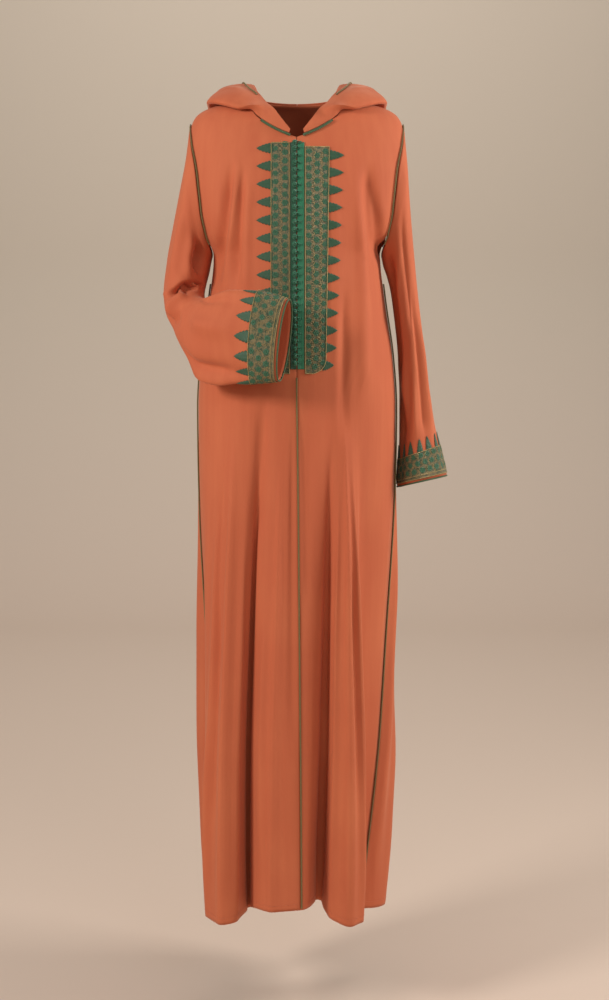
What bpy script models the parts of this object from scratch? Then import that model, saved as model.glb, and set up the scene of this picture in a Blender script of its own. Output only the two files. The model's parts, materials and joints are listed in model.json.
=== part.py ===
"""Hooded djellaba robe, hanging as it is worn, with its right sleeve bent across the front.

Millimetres inside the tables and functions, metres in the meshes. +Z is up, the front faces -Y, and +X is the
wearer's left. The origin is at the middle of the wearer's shoulders, which carry the robe.
"""

import math

import bmesh
import bpy
import numpy as np
from mathutils import Vector

# ---- driving dimensions ----
MM = 0.001
HEM_HEIGHT = -1418.0
WAIST_HEIGHT = -520.0
UNDERARM_HEIGHT = -268.0
YOKE_HEIGHT = -82.0  # level rings below this, rings that rise to the neckline above it
SHOULDER_TIP_HEIGHT = -45.0
ARMHOLE_DEPTH = 0.30  # share of a quarter round that the panels draw in at the armhole
CLOTH = 1.5  # thickness of the crepe with its seam turnings
SEAM_GAP = 0.5  # between two panels that are sewn together
ARMHOLE_GAP = 2.5  # from the panels' edge to the sleeve's first ring
ARMHOLE_CORD_INSET = 4.0  # from the panels' edge to the middle of the armhole's cord
LAID_GAP = 0.7  # between a panel and what is sewn on it
SLEEVE_SIDES = 20
HOOD_CORD_PLACE = 0.8  # from the hood's fold (0) to its rim (1)
SQUARENESS = 2.2  # exponent of the rounded outline; 2 is an ellipse
FOLD_GROWTH = 1.15  # how late the folds open between the waist and the hem
LINE_SWING = 0.85  # how early the fold lines swing out below the waist

EMBROIDERY = 0.9  # thickness of a stitched plate
BRAID = 1.1  # thickness of the flat braids beside the opening
CORD_RADIUS = 1.3
NECK_CORD_RADIUS = 2.1
PIPING_LIFT = 0.35  # between a cord and the cloth under it
BUTTONS = 31
BUTTON_RADIUS = 3.4
BUTTON_TOP, BUTTON_BOTTOM = -79.0, -448.0
BUTTON_X = -3.0
BRAIDS_TOP, BRAIDS_BOTTOM = -75.0, -458.0
PLASTRON_BOTTOM = -466.0
LEAVES = 13  # on each side of the plastron
CUFF_LEAVES = 14
CUFF_BAND, CUFF_LEAF = 50.0, 24.0  # breadth of the cuff's embroidery and the length of its leaves
CORD_SIDES = 1  # bevel_resolution of the cords

# ---- the garment's form: half width, depth in front of the middle, depth behind it ----
SECTIONS = """
height  half_width  front  back
     2          66     48    64
    -2          96     54    70
    -7         125     60    77
   -13         148     66    83
   -20         164     72    88
   -28         174     77    93
   -41         181     84    98
   -60         185     91   103
   -90         188    100   108
  -140         187    112   114
  -190         179    121   116
  -230         163    126   115
  -268         145    128   113
  -332         152    127   111
  -440         168    125   112
  -520         174    124   115
  -710         176    125   122
  -925         172    127   127
 -1100         170    126   128
 -1250         163    122   126
 -1418         154    118   122
"""

# ---- neckline height against bearing: 0 is centre front, 90 the shoulder, 180 centre back ----
NECKLINE = """
bearing  height
      0     -72
     10     -56
     20     -35
     25     -20
     32      -9
     44      -2
     90       2
    180       1
"""

# ---- fold lines round the skirt, from centre front to the wearer's left and on round ----
# Bearings in degrees; depth is how far the line stands out of the form at the hem, and rise lifts the hem there.
FOLDS = """
line             waist  hem  depth  rise
centre_front         0    2     28    30
left_trough         17   14    -32    24
left_rise           22   19     10     8
left_crest          25   28     40     0
left_edge           28   38     27     0
left_recess         36   46    -14     2
side_seam_left      88   55    -20     0
left_hip           104   84      4    -6
back_trough_1      122  108    -16    -4
back_crest_1       138  128     26    -8
back_trough_2      154  147    -22     4
back_crest_2       172  166     30   -10
back_trough_3      189  187    -26     2
back_crest_3       207  208     28    -8
back_trough_4      224  228    -18     2
back_crest_4       243  247     18    -6
right_hip          258  266     12     0
side_seam_right    273  291    -22     4
right_edge         319  304     36     0
right_crest        327  319     50     0
right_fall         336  326     34     4
right_trough       344  325    -20    10
centre_rise        348  337     16    25
centre_crest       354  348     34    28
"""

# ---- sleeves: each row is one ring, by its inner and outer point, its place in depth and half its depth ----
# The bow carries a ring's front and back outward, where the sleeve leaves the armhole.
BENT_SLEEVE = """
inner_x  inner_z  outer_x  outer_z  place  half_depth  bow
   -150     -280     -192     -100      0          54    9
   -152     -291     -203     -155      0          54    8
   -155     -303     -214     -210     -2          53    5
   -158     -316     -226     -275     -7          50    2
   -160     -327     -231     -330    -19          48    0
   -161     -334     -224     -368    -36          43    0
   -160     -339     -204     -400    -62          36    0
   -153     -339     -181     -439    -93          30    0
   -140     -335     -158     -471   -119          27    0
   -108     -326     -118     -478   -143          27    0
    -64     -329      -76     -479   -163          27    0
    -13     -343      -30     -476   -180          27    0
"""
STRAIGHT_SLEEVE = """
inner_x  inner_z  outer_x  outer_z  place  half_depth  bow
    150     -281      190     -100      0          54    9
    156     -298      196     -170      4          54    7
    163     -325      204     -250     10          52    4
    170     -375      213     -330     15          50    2
    177     -440      224     -412     17          50    0
    181     -510      233     -485     17          50    0
    181     -580      243     -556     15          50    0
    179     -628      254     -603     11          51    0
    177     -667      265     -647      7          52    0
"""

# ---- hood, lying down: the outer fold and the rim against the bearing of the seam that they leave from ----
HOOD = """
bearing  fold_x  fold_y  fold_z  rim_x  rim_y  rim_z  fullness  loft
      3      12     -96     -63     11    -92    -58         2     0
     10      37     -92     -50     27    -80    -37         2     0
     16      56     -86     -38     39    -65    -20         3     0
     20      72     -81     -33     50    -54    -10         6     2
     25      98     -72     -24     60    -42      3         9     8
     32     128     -50     -15     67    -29     12         9    10
     44     143     -28     -11     70    -14     20         9    10
     60     148     -12      -9     74      0     27        10    11
     90     150      10      -9     77     22     29        10    11
    110     148      32     -13     78     42     24        11    12
    140     124      86     -64     74     88      8        13    18
    160      72     114    -190     46    124    -12        14    22
    175      18     121    -329     12    135    -19        14    20
    180       0     121    -330      0    135    -20        14    20
"""
HOOD_COLUMNS = [3, 8, 13, 17, 21, 25, 30, 37, 47, 62, 80, 98, 113, 125, 135, 144, 153, 163, 171, 176, 180]
HOOD_CLEARANCE = 6.5  # under the hood's lower layer, over the shoulders and the back
HOOD_ROLL = 11.0  # how high the strip rolls over where it begins to turn
HOOD_SEAM_RISE = 3.0  # from the panels' neckline to the hood's first row

# ---- colours, as linear light ----
CREPE = (0.58, 0.15, 0.055)
EMBROIDERY_GREEN = (0.07, 0.11, 0.045)
SILK_GREEN = (0.015, 0.12, 0.06)
OLIVE = (0.16, 0.10, 0.03)


# ---------------------------------------------------------------- tables and curves
def columns_of(table):
    """A table's columns by name; a first column of words stays words."""
    rows = [line.split() for line in table.strip().splitlines()]
    found = {}
    for place, name in enumerate(rows[0]):
        cells = [row[place] for row in rows[1:]]
        found[name] = cells if name == "line" else np.array(cells, float)
    return found


def eased(x, knots, values):
    """Values between knots on a smooth curve that never overshoots them (monotone cubic); x is clamped."""
    x = np.clip(x, knots[0], knots[-1])
    gaps = np.diff(knots)
    rises = np.diff(values) / gaps
    slopes = np.empty(len(knots))
    slopes[0], slopes[-1] = rises[0], rises[-1]
    for k in range(1, len(knots) - 1):
        before, after = rises[k - 1], rises[k]
        weight_1, weight_2 = 2 * gaps[k] + gaps[k - 1], gaps[k] + 2 * gaps[k - 1]
        flat = before * after <= 0
        slopes[k] = 0 if flat else (weight_1 + weight_2) / (weight_1 / before + weight_2 / after)
    k = int(np.clip(np.searchsorted(knots, x) - 1, 0, len(gaps) - 1))
    t = (x - knots[k]) / gaps[k]
    start = (1 + 2 * t) * (1 - t) ** 2 * values[k] + t * (1 - t) ** 2 * gaps[k] * slopes[k]
    end = t * t * (3 - 2 * t) * values[k + 1] + t * t * (t - 1) * gaps[k] * slopes[k + 1]
    return start + end


def smooth_step(t):
    t = min(max(t, 0.0), 1.0)
    return t * t * (3 - 2 * t)


def mixed(a, b, t):
    return a + (b - a) * t


# ---------------------------------------------------------------- the body of the robe
sections = columns_of(SECTIONS)
section_heights = sections["height"][::-1]
section_columns = [sections[name][::-1] for name in ("half_width", "front", "back")]
neckline = columns_of(NECKLINE)
folds = columns_of(FOLDS)
line_place = {name: place for place, name in enumerate(folds["line"])}


def form_sizes(height):
    """Half width, front depth and back depth of the form at a height."""
    return [float(eased(height, section_heights, column)) for column in section_columns]


def form_point(bearing, height):
    """A point of the unfolded form and its level outward normal, at a bearing in degrees."""
    half_width, front, back = form_sizes(height)
    side, ahead = math.sin(math.radians(bearing)), math.cos(math.radians(bearing))
    depth = front if ahead > 0 else back
    x = half_width * math.copysign(abs(side) ** (2 / SQUARENESS), side)
    y = -depth * math.copysign(abs(ahead) ** (2 / SQUARENESS), ahead)
    lean_x = math.copysign((abs(x) / half_width) ** (SQUARENESS - 1) / half_width, x)
    lean_y = math.copysign((abs(y) / depth) ** (SQUARENESS - 1) / depth, y)
    return np.array([x, y, height]), np.array([lean_x, lean_y, 0]) / math.hypot(lean_x, lean_y)


def form_normal(point):
    """The unfolded form's outward unit normal at a point on it, slope and all."""
    half_width, front, back = form_sizes(point[2])
    above = form_sizes(point[2] + 1)
    depth, depth_above = (front, above[1]) if point[1] < 0 else (back, above[2])
    reach_x, reach_y = abs(point[0]) / half_width, abs(point[1]) / depth
    lean_x = math.copysign(reach_x ** (SQUARENESS - 1) / half_width, point[0])
    lean_y = math.copysign(reach_y ** (SQUARENESS - 1) / depth, point[1])
    narrowing = (half_width - above[0]) / half_width * reach_x**SQUARENESS
    lean_z = narrowing + (depth - depth_above) / depth * reach_y**SQUARENESS
    normal = np.array([lean_x, lean_y, lean_z])
    return normal / np.linalg.norm(normal)


def hem_shares():
    """Where each fold line lies in the cloth, as a share of the hem's length from centre front."""
    points = []
    for bearing, depth in zip(folds["hem"], folds["depth"]):
        at, out = form_point(bearing, HEM_HEIGHT)
        points.append(at + out * depth)
    steps = [np.linalg.norm(b - a) for a, b in zip(points, points[1:] + points[:1])]
    return np.concatenate([[0], np.cumsum(steps)]) / sum(steps)


shares = hem_shares()
LEFT_SEAM, RIGHT_SEAM = shares[line_place["side_seam_left"]], shares[line_place["side_seam_right"]]


def round_the_hem(share, values, turn=0.0):
    """A fold column's value at a share of the hem; turn is what one whole round adds."""
    knots = np.concatenate([shares[-4:-1] - 1, shares, shares[1:4] + 1])
    ring = np.concatenate([values, [values[0] + turn]])
    held = np.concatenate([ring[-4:-1] - turn, ring, ring[1:4] + turn])
    return float(eased(share, knots, held))


def bust_bearing(share):
    """Above the waist the cloth lies evenly between centre front, side seams and centre back."""
    if share <= LEFT_SEAM:
        return 90 * share / LEFT_SEAM
    if share <= RIGHT_SEAM:
        return 90 + 180 * (share - LEFT_SEAM) / (RIGHT_SEAM - LEFT_SEAM)
    return 270 + 90 * (share - RIGHT_SEAM) / (1 - RIGHT_SEAM)


def armhole_bite(height):
    """How far the panel's edge draws in at the armhole, as the share of 90 degrees that is left."""
    if not UNDERARM_HEIGHT < height < SHOULDER_TIP_HEIGHT:
        return 1.0
    down = (SHOULDER_TIP_HEIGHT - height) / (SHOULDER_TIP_HEIGHT - UNDERARM_HEIGHT)
    return 1 - ARMHOLE_DEPTH * math.sin(math.pi * down) ** 0.55


def drawn_in(bearing, height):
    """The bearing with the cloth drawn in from the armholes."""
    quarter = bearing % 360
    if quarter <= 90 or quarter >= 270:
        from_middle = quarter if quarter <= 90 else quarter - 360
        return from_middle * armhole_bite(height)
    return 180 + (quarter - 180) * armhole_bite(height)


def neckline_height(bearing):
    quarter = bearing % 360
    return float(eased(min(quarter, 360 - quarter), neckline["bearing"], neckline["height"]))


def body_point(share, level):
    """The cloth at a share round the hem: level runs from 0 at the hem to 1 at the yoke and 2 at the neckline."""
    if level > 1:
        bearing = bust_bearing(share)
        rough_height = mixed(YOKE_HEIGHT, section_heights[-1], level - 1)
        bearing = drawn_in(bearing, rough_height)
        height = mixed(YOKE_HEIGHT, neckline_height(bearing), level - 1)
        return form_point(bearing, height)[0]
    height = mixed(HEM_HEIGHT, YOKE_HEIGHT, level)
    below_waist = max(0.0, (WAIST_HEIGHT - height) / (WAIST_HEIGHT - HEM_HEIGHT))
    hanging = round_the_hem(share, folds["waist"], 360)
    if below_waist > 0:
        hanging = mixed(hanging, round_the_hem(share, folds["hem"], 360), below_waist**LINE_SWING)
    settled = smooth_step((UNDERARM_HEIGHT - height) / (UNDERARM_HEIGHT - WAIST_HEIGHT))
    bearing = mixed(bust_bearing(share), hanging, settled)
    at, out = form_point(drawn_in(bearing, height), height)
    opened = 0.05 * settled + 0.95 * below_waist**FOLD_GROWTH
    at = at + out * round_the_hem(share, folds["depth"]) * opened
    at[2] += round_the_hem(share, folds["rise"]) * below_waist**3
    return at


def level_of(height):
    return (height - HEM_HEIGHT) / (YOKE_HEIGHT - HEM_HEIGHT)


def outward(surface, u, v, step_u, step_v):
    """The unit normal of surface(u, v)."""
    along = surface(u + step_u, v) - surface(u - step_u, v)
    up = surface(u, v + step_v) - surface(u, v - step_v)
    normal = np.cross(along, up)
    return normal / np.linalg.norm(normal)


def on_body(share, level, lift):
    """A point lifted off the robe's cloth along its normal."""
    return body_point(share, level) + outward(body_point, share, level, 0.001, 0.002) * lift


# ---------------------------------------------------------------- making objects
def clear_scene():
    for old in list(bpy.data.objects):
        bpy.data.objects.remove(old)


def make_material(name, colour, roughness):
    material = bpy.data.materials.new(name)
    material.use_nodes = True
    shader = material.node_tree.nodes["Principled BSDF"]
    shader.inputs["Base Color"].default_value = (*colour, 1)
    shader.inputs["Roughness"].default_value = roughness
    shader.inputs["Metallic"].default_value = 0.0
    return material


def add_object(name, data, material):
    data.materials.append(material)
    made = bpy.data.objects.new(name, data)
    robe.objects.link(made)
    return made


def cloth(name, rows, material, thickness=CLOTH, closed=False, inwards=True):
    """A sheet through rows of points, made solid. A closed sheet joins each row's end to its start."""
    mesh = bpy.data.meshes.new(name)
    made = bmesh.new()
    lines = [[made.verts.new(Vector(point) * MM) for point in row] for row in rows]
    for low, high in zip(lines, lines[1:]):
        places = range(len(low) if closed else len(low) - 1)
        for k in places:
            after = (k + 1) % len(low)
            made.faces.new((low[k], low[after], high[after], high[k]))
    made.to_mesh(mesh)
    made.free()
    mesh.shade_smooth()
    sheet = add_object(name, mesh, material)
    wall = sheet.modifiers.new("wall", "SOLIDIFY")
    wall.thickness = thickness * MM
    wall.offset = -1 if inwards else 1
    wall.use_quality_normals = True
    return sheet


def cord(name, points, radius, material, closed=False):
    """A tube along points."""
    curve = bpy.data.curves.new(name, "CURVE")
    curve.dimensions = "3D"
    curve.bevel_depth = radius * MM
    curve.bevel_resolution = CORD_SIDES
    curve.use_fill_caps = not closed
    line = curve.splines.new("POLY")
    line.points.add(len(points) - 1)
    for spot, point in zip(line.points, points):
        spot.co = (*(Vector(point) * MM), 1)
    line.use_cyclic_u = closed
    return add_object(name, curve, material)


# ---------------------------------------------------------------- body panels
def panel_columns(start, end):
    """Shares of the columns of a panel: its fold lines, one between each two, and one near each seam."""
    edge = SEAM_GAP / 2 / 1150
    near = 5 / 1150
    lines = [s for s in shares if start + 0.02 < s < end - 0.02]
    stops = [start + near, *lines, end - near]
    middles = [mixed(a, b, 0.5) for a, b in zip(stops, stops[1:]) if b - a > 0.02]
    return sorted([start + edge, end - edge, *stops, *middles])


def panel_levels():
    """Levels of the rows, closer together at the shoulders and the hem."""
    heights = [HEM_HEIGHT, -1310, -1170, -1020, -870, -740, -640, -570, -515, -440, -360, -300]
    heights += [UNDERARM_HEIGHT, -250, -220, -180, -140, -108, YOKE_HEIGHT]
    return [level_of(h) for h in heights] + [1 + r for r in (0.2, 0.39, 0.57, 0.74, 0.88, 1.0)]


def make_panels():
    for name, start, end in (
        ("front_left", 0.0, LEFT_SEAM),
        ("back", LEFT_SEAM, RIGHT_SEAM),
        ("front_right", RIGHT_SEAM, 1.0),
    ):
        rows = [[body_point(share, level) for share in panel_columns(start, end)] for level in panel_levels()]
        cloth(name, rows, crepe)


# ---------------------------------------------------------------- sleeves
def armhole_edge(side, turn):
    """The armhole's edge as a loop: turn 0 is the shoulder tip, 0.25 the front, 0.5 the underarm."""
    turn = turn % 1
    down = (2 * min(turn, 1 - turn)) ** 0.8
    height = mixed(SHOULDER_TIP_HEIGHT, UNDERARM_HEIGHT, 0.5 - 0.5 * math.cos(math.pi * down))
    drawn = 90 * armhole_bite(height)
    return form_point((180 - drawn if turn > 0.5 else drawn) * side, height)


def sleeve_rings(table, side):
    """What a sleeve's rings need: middles, half the reach across and the depth axis of each."""
    found = columns_of(table)
    inner = np.stack([found["inner_x"], found["place"], found["inner_z"]], 1)
    outer = np.stack([found["outer_x"], found["place"], found["outer_z"]], 1)
    middles, reaches = (inner + outer) / 2, (outer - inner) / 2
    ahead = []
    for k in range(len(middles)):
        tangent = middles[min(k + 1, len(middles) - 1)] - middles[max(k - 1, 0)]
        tangent[1] *= smooth_step((k - 2) / 3)
        across = np.cross(tangent, reaches[k]) * side
        ahead.append(across / np.linalg.norm(across) * found["half_depth"][k])
    bows = np.outer(found["bow"], [side, 0, 0])
    armhole_middle = np.array([side * 166, 0, (SHOULDER_TIP_HEIGHT + UNDERARM_HEIGHT) / 2])
    stops = np.cumsum([np.linalg.norm(b - a) for a, b in zip([armhole_middle, *middles], middles)])
    rings = {"middles": middles, "reaches": reaches, "ahead": np.array(ahead), "bows": bows}
    return {"side": side, "stops": [0, *stops], **rings}


def sleeve_point(sleeve, turn, along):
    """A point of a sleeve, along millimetres down its middle from the armhole."""
    angle = 2 * math.pi * turn
    start = armhole_edge(sleeve["side"], turn)[0] + np.array([sleeve["side"] * ARMHOLE_GAP, 0, 0])
    rings = sleeve["middles"] + sleeve["reaches"] * math.cos(angle) + sleeve["ahead"] * math.sin(angle)
    rings = rings + sleeve["bows"] * math.sin(angle) ** 2
    points = np.vstack([start, rings])
    return np.array([float(eased(along, sleeve["stops"], points[:, axis])) for axis in range(3)])


def on_sleeve(sleeve, turn, along, lift):
    """A point lifted off a sleeve's cloth along its normal."""

    def surface(u, v):
        return sleeve_point(sleeve, u, min(v, sleeve["stops"][-1]))

    return surface(turn, along) + outward(surface, turn, along - 1, 0.004, 1) * sleeve["side"] * lift


def tube(name, rings, side, material, thickness=CLOTH, inwards=True):
    """Closed rings as a tube whose faces point out, on either side of the robe."""
    cloth(name, [ring[::-1] for ring in rings] if side < 0 else rings, material, thickness, True, inwards)


def make_sleeves():
    turns = [k / SLEEVE_SIDES for k in range(SLEEVE_SIDES)]
    for name, sleeve in sleeves.items():
        stops = sleeve["stops"]
        rows = [0, stops[1] * 0.3, stops[1] * 0.65, *stops[1:]]
        tube(name, [[sleeve_point(sleeve, t, stop) for t in turns] for stop in rows], sleeve["side"], crepe)


def make_cuffs():
    """The embroidered band round each cuff, with its ring of leaves, and the cord on the cuff's edge."""
    steps = [k / CUFF_LEAVES / 2 for k in range(2 * CUFF_LEAVES)]
    for name, sleeve in sleeves.items():
        hand = name.split("_")[1]
        end = sleeve["stops"][-1]
        base = [[on_sleeve(sleeve, t, end - inset, LAID_GAP) for t in steps] for inset in (3.0, 26.0, CUFF_BAND)]
        leaves = []
        for k, t in enumerate(steps):
            reach = CUFF_BAND + (CUFF_LEAF if k % 2 else 2.5)
            leaves.append(on_sleeve(sleeve, t, end - reach, LAID_GAP))
        rings = [leaves, *base[::-1]]
        tube(f"cuff_embroidery_{hand}", rings, sleeve["side"], embroidery, EMBROIDERY, False)
        edge = [k / 20 for k in range(20)]
        past = sleeve["middles"][-1] - sleeve["middles"][-2]
        past = past / np.linalg.norm(past) * (CORD_RADIUS + PIPING_LIFT)
        points = [sleeve_point(sleeve, t, end) + past for t in edge]
        cord(f"cuff_cord_{hand}", points, CORD_RADIUS, green_silk, closed=True)


# ---------------------------------------------------------------- hood
hood = columns_of(HOOD)


def inside_form(point):
    if point[2] > section_heights[-1]:
        return False
    half_width, front, back = form_sizes(point[2])
    depth = front if point[1] < 0 else back
    return (abs(point[0]) / half_width) ** SQUARENESS + (abs(point[1]) / depth) ** SQUARENESS < 1


def kept_off_body(point, clearance=HOOD_CLEARANCE):
    """The point pushed out from the body's middle until it lies clear of the form."""
    core = np.array([point[0] * 0.6, 0.0, min(point[2], -70.0)])
    ray = point - core
    near, far = 0.05, 4.0
    for _ in range(22):
        middle = (near + far) / 2
        near, far = (middle, far) if inside_form(core + ray * middle) else (near, middle)
    return core + ray * max(1.0, near + clearance / np.linalg.norm(ray))


def hood_corners(bearing):
    """The neck seam, the outer fold's lower and upper edge, its bulge, the rim and the loft.

    At the front the hood is only a flat strip along the neckline; it turns over from about 20 degrees on."""
    column = {name: float(eased(bearing, hood["bearing"], hood[name])) for name in hood}
    turned = smooth_step((bearing - 15) / 10)
    edge = form_point(bearing, neckline_height(bearing))[0]
    seam = mixed(edge + np.array([0, 0, HOOD_SEAM_RISE]), kept_off_body(edge, HOOD_SEAM_RISE), turned)
    rim = np.array([column["rim_x"], column["rim_y"], column["rim_z"]])
    fold = kept_off_body(np.array([column["fold_x"], column["fold_y"], column["fold_z"]]))
    thick = form_normal(fold)
    low = mixed(mixed(seam, rim, 0.5), fold, turned) + thick * HOOD_ROLL * 4 * turned * (1 - turned)
    strip = rim - seam
    high = low + mixed(strip / np.linalg.norm(strip), thick, turned) * column["fullness"]
    bulge = low - seam
    bulge = bulge / np.linalg.norm(bulge) * column["fullness"] * 0.4 * turned
    chord = rim - high
    up = thick - chord * np.dot(thick, chord) / np.dot(chord, chord)
    return seam, low, high, bulge, rim, up * column["loft"]


def hood_point(side, bearing, layer, across):
    """The hood: layer 0 runs from seam to fold, 1 is the middle of the fold and 2 runs from fold to rim."""
    seam, low, high, bulge, rim, loft = hood_corners(bearing)
    if layer == 0:
        at = mixed(seam, low, across)
        clearance = mixed(HOOD_SEAM_RISE, HOOD_CLEARANCE, min(1.0, 2.5 * across))
        at = kept_off_body(at, clearance) if across > 0 and bearing > 20 else at
    elif layer == 1:
        at = (low + high) / 2 + bulge
    else:
        at = mixed(high, rim, across) + loft * math.sin(math.pi * across) ** 0.8
    at[0] = max(at[0], SEAM_GAP / 2)
    return at * np.array([side, 1, 1])


def make_hood():
    rows = [(0, t) for t in (0, 0.06, 0.14, 0.25, 0.42, 0.7, 1)]
    rows += [(1, 0), *[(2, t) for t in (0, 0.2, 0.5, HOOD_CORD_PLACE, 1)]]
    for name, side in (("hood_left", 1), ("hood_right", -1)):
        sheet = [[hood_point(side, b, layer, t) for b in HOOD_COLUMNS] for layer, t in rows]
        cloth(name, sheet if side > 0 else [row[::-1] for row in sheet], crepe)


# ---------------------------------------------------------------- front opening and embroidery
def share_at(x, level):
    """The share round the hem that lies at x on the front, at a level."""
    low, high = (0.0, LEFT_SEAM) if x > 0 else (RIGHT_SEAM, 1.0)
    for _ in range(26):
        middle = (low + high) / 2
        low, high = (middle, high) if body_point(middle, level)[0] < x else (low, middle)
    return low


def on_front(x, height, lift):
    """A point lifted off the front of the robe, at a place across it and a height."""
    level = level_of(height)
    return on_body(share_at(x, level), level, lift)


def between(start, end, count):
    return [mixed(start, end, k / (count - 1)) for k in range(count)]


def laid_on_front(name, strips, material, thickness):
    """A plate on the front: each strip is a height and its places across, from the wearer's right."""
    rows = [[on_front(x, height, LAID_GAP) for x in places] for height, places in strips]
    cloth(name, rows, material, thickness, inwards=False)


def make_placket():
    """The flat braids on the two edges of the opening, and the button column on the right one."""
    heights = between(BRAIDS_BOTTOM, BRAIDS_TOP, 15)
    laid_on_front("placket_braid_right", [(h, (-10.4, -5.4, -0.6)) for h in heights], green_silk, BRAID)
    laid_on_front("placket_braid_left", [(h, (1.4, 7.0, 12.8)) for h in heights], green_silk, BRAID)
    for number, height in enumerate(between(BUTTON_TOP, BUTTON_BOTTOM, BUTTONS), 1):
        centre = on_front(BUTTON_X, height, LAID_GAP + BRAID + 0.3 + BUTTON_RADIUS)
        mesh = bpy.data.meshes.new(f"button_{number:02d}")
        knot = bmesh.new()
        bmesh.ops.create_uvsphere(knot, u_segments=8, v_segments=4, radius=BUTTON_RADIUS * MM)
        bmesh.ops.translate(knot, verts=knot.verts, vec=Vector(centre) * MM)
        knot.to_mesh(mesh)
        knot.free()
        mesh.shade_smooth()
        add_object(f"button_{number:02d}", mesh, green_silk)


def leaf_reach(place):
    """How far a leaf stands out at a place along its pitch, from 0 in the notch to 1 at its tip."""
    return max(0.0, 1 - abs(2 * (place % 1) - 1)) ** 0.8


def make_plastron():
    """The embroidered chest piece: two plates with leaves on their outer edges and rounded lower corners."""
    for hand, side, inner, top in (("right", -1, 11.3, -76.0), ("left", 1, 13.7, -88.0)):
        edges = {"top": (43, 24), "bottom": (43, 24)} if side < 0 else {"top": (55, 25), "bottom": (49, 16)}
        strips = []
        for k in range(4 * LEAVES + 1):
            down = k / (4 * LEAVES)
            height = mixed(top, PLASTRON_BOTTOM, down)
            valley = mixed(edges["top"][0], edges["bottom"][0], down)
            reach = 1.5 + mixed(edges["top"][1], edges["bottom"][1], down) * leaf_reach(k / 4)
            rounding = max(0.0, 1 - (height - PLASTRON_BOTTOM) / 24)
            shrink = 1 - 0.75 * (1 - math.sqrt(1 - rounding**2))
            outer = inner + (valley + reach - inner) * shrink
            middle = inner + (valley - inner) * shrink
            places = (inner, mixed(inner, middle, 0.5), middle, outer)
            strips.append((height, places if side > 0 else [-x for x in places[::-1]]))
        laid_on_front(f"plastron_{hand}", strips[::-1], embroidery, EMBROIDERY)


# ---------------------------------------------------------------- seam cords
def make_cords():
    lift = CORD_RADIUS + PIPING_LIFT
    levels = [level for level in panel_levels() if level < level_of(UNDERARM_HEIGHT - 40)]
    levels[0] = level_of(HEM_HEIGHT + 4)
    front = [on_body(0, level, lift) for level in [*levels[:-4], level_of(PLASTRON_BOTTOM - 6)]]
    cord("front_seam_cord", front, CORD_RADIUS, olive_cord)
    for hand, side, share in (("left", 1, LEFT_SEAM), ("right", -1, RIGHT_SEAM)):
        cord(f"side_seam_cord_{hand}", [on_body(share, level, lift) for level in levels], CORD_RADIUS, olive_cord)
        cord(f"armhole_cord_{hand}", armhole_cord_points(side), CORD_RADIUS, olive_cord)
        cord(f"neck_cord_{hand}", neck_cord_points(side), NECK_CORD_RADIUS, green_silk)
        cord(f"hood_cord_{hand}", hood_cord_points(side), CORD_RADIUS, olive_cord)


def neck_cord_points(side):
    """Along the neckline's seam, from the opening to where the hood turns over."""
    points = []
    for bearing in between(2.5, 17, 8):
        at, out = form_point(bearing * side, neckline_height(bearing))
        points.append(at + out * (NECK_CORD_RADIUS + PIPING_LIFT + 0.6) + np.array([0, 0, -0.6]))
    return points


def armhole_cord_points(side):
    """On the panels beside the armhole's seam: up the front, round the shoulder tip and down the back."""
    points = []
    for turn in between(-0.37, 0.37, 27):
        at, _ = armhole_edge(side, turn)
        along = armhole_edge(side, turn + 0.005)[0] - armhole_edge(side, turn - 0.005)[0]
        normal = form_normal(at)
        inward = np.cross(normal, along)
        inward = inward / np.linalg.norm(inward) * -side
        points.append(at + inward * ARMHOLE_CORD_INSET + normal * (CORD_RADIUS + PIPING_LIFT + 0.6))
    return points


def hood_cord_points(side):
    """Round the hood's opening, a little outside its rim."""
    points = []
    for bearing in HOOD_COLUMNS[5:-1]:
        at = hood_point(side, bearing, 2, HOOD_CORD_PLACE)
        along = hood_point(side, bearing + 1, 2, HOOD_CORD_PLACE) - hood_point(side, bearing - 1, 2, HOOD_CORD_PLACE)
        across = hood_point(side, bearing, 2, HOOD_CORD_PLACE + 0.04) - at
        normal = np.cross(along, across) * side
        points.append(at + normal / np.linalg.norm(normal) * (CORD_RADIUS + PIPING_LIFT + 0.3))
    return points


# ---------------------------------------------------------------- build
clear_scene()
robe = bpy.data.collections.new("djellaba_robe")
bpy.context.scene.collection.children.link(robe)
crepe = make_material("terracotta_crepe", CREPE, 0.75)
embroidery = make_material("green_gold_embroidery", EMBROIDERY_GREEN, 0.6)
green_silk = make_material("green_silk_braid", SILK_GREEN, 0.5)
olive_cord = make_material("olive_cord", OLIVE, 0.6)
sleeves = {
    "sleeve_right": sleeve_rings(BENT_SLEEVE, -1),
    "sleeve_left": sleeve_rings(STRAIGHT_SLEEVE, 1),
}

make_panels()
make_sleeves()
make_cuffs()
make_hood()
make_placket()
make_plastron()
make_cords()
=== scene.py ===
# %% [markdown]
# # A hooded djellaba robe
# A djellaba is a long loose robe with a hood. This one is terracotta crepe, with an embroidered chest piece
# (the plastron), a column of knotted buttons, embroidered cuffs and thin cords over its seams. It hangs as it
# is worn, hollow, with the right sleeve bent across the front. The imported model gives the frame. Each of its
# plain solids is replaced here by cloth, thread and cord with the detail of the real thing.

import json
import math
import random

import bmesh
import bpy
import numpy as np
from mathutils import Matrix, Vector

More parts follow.
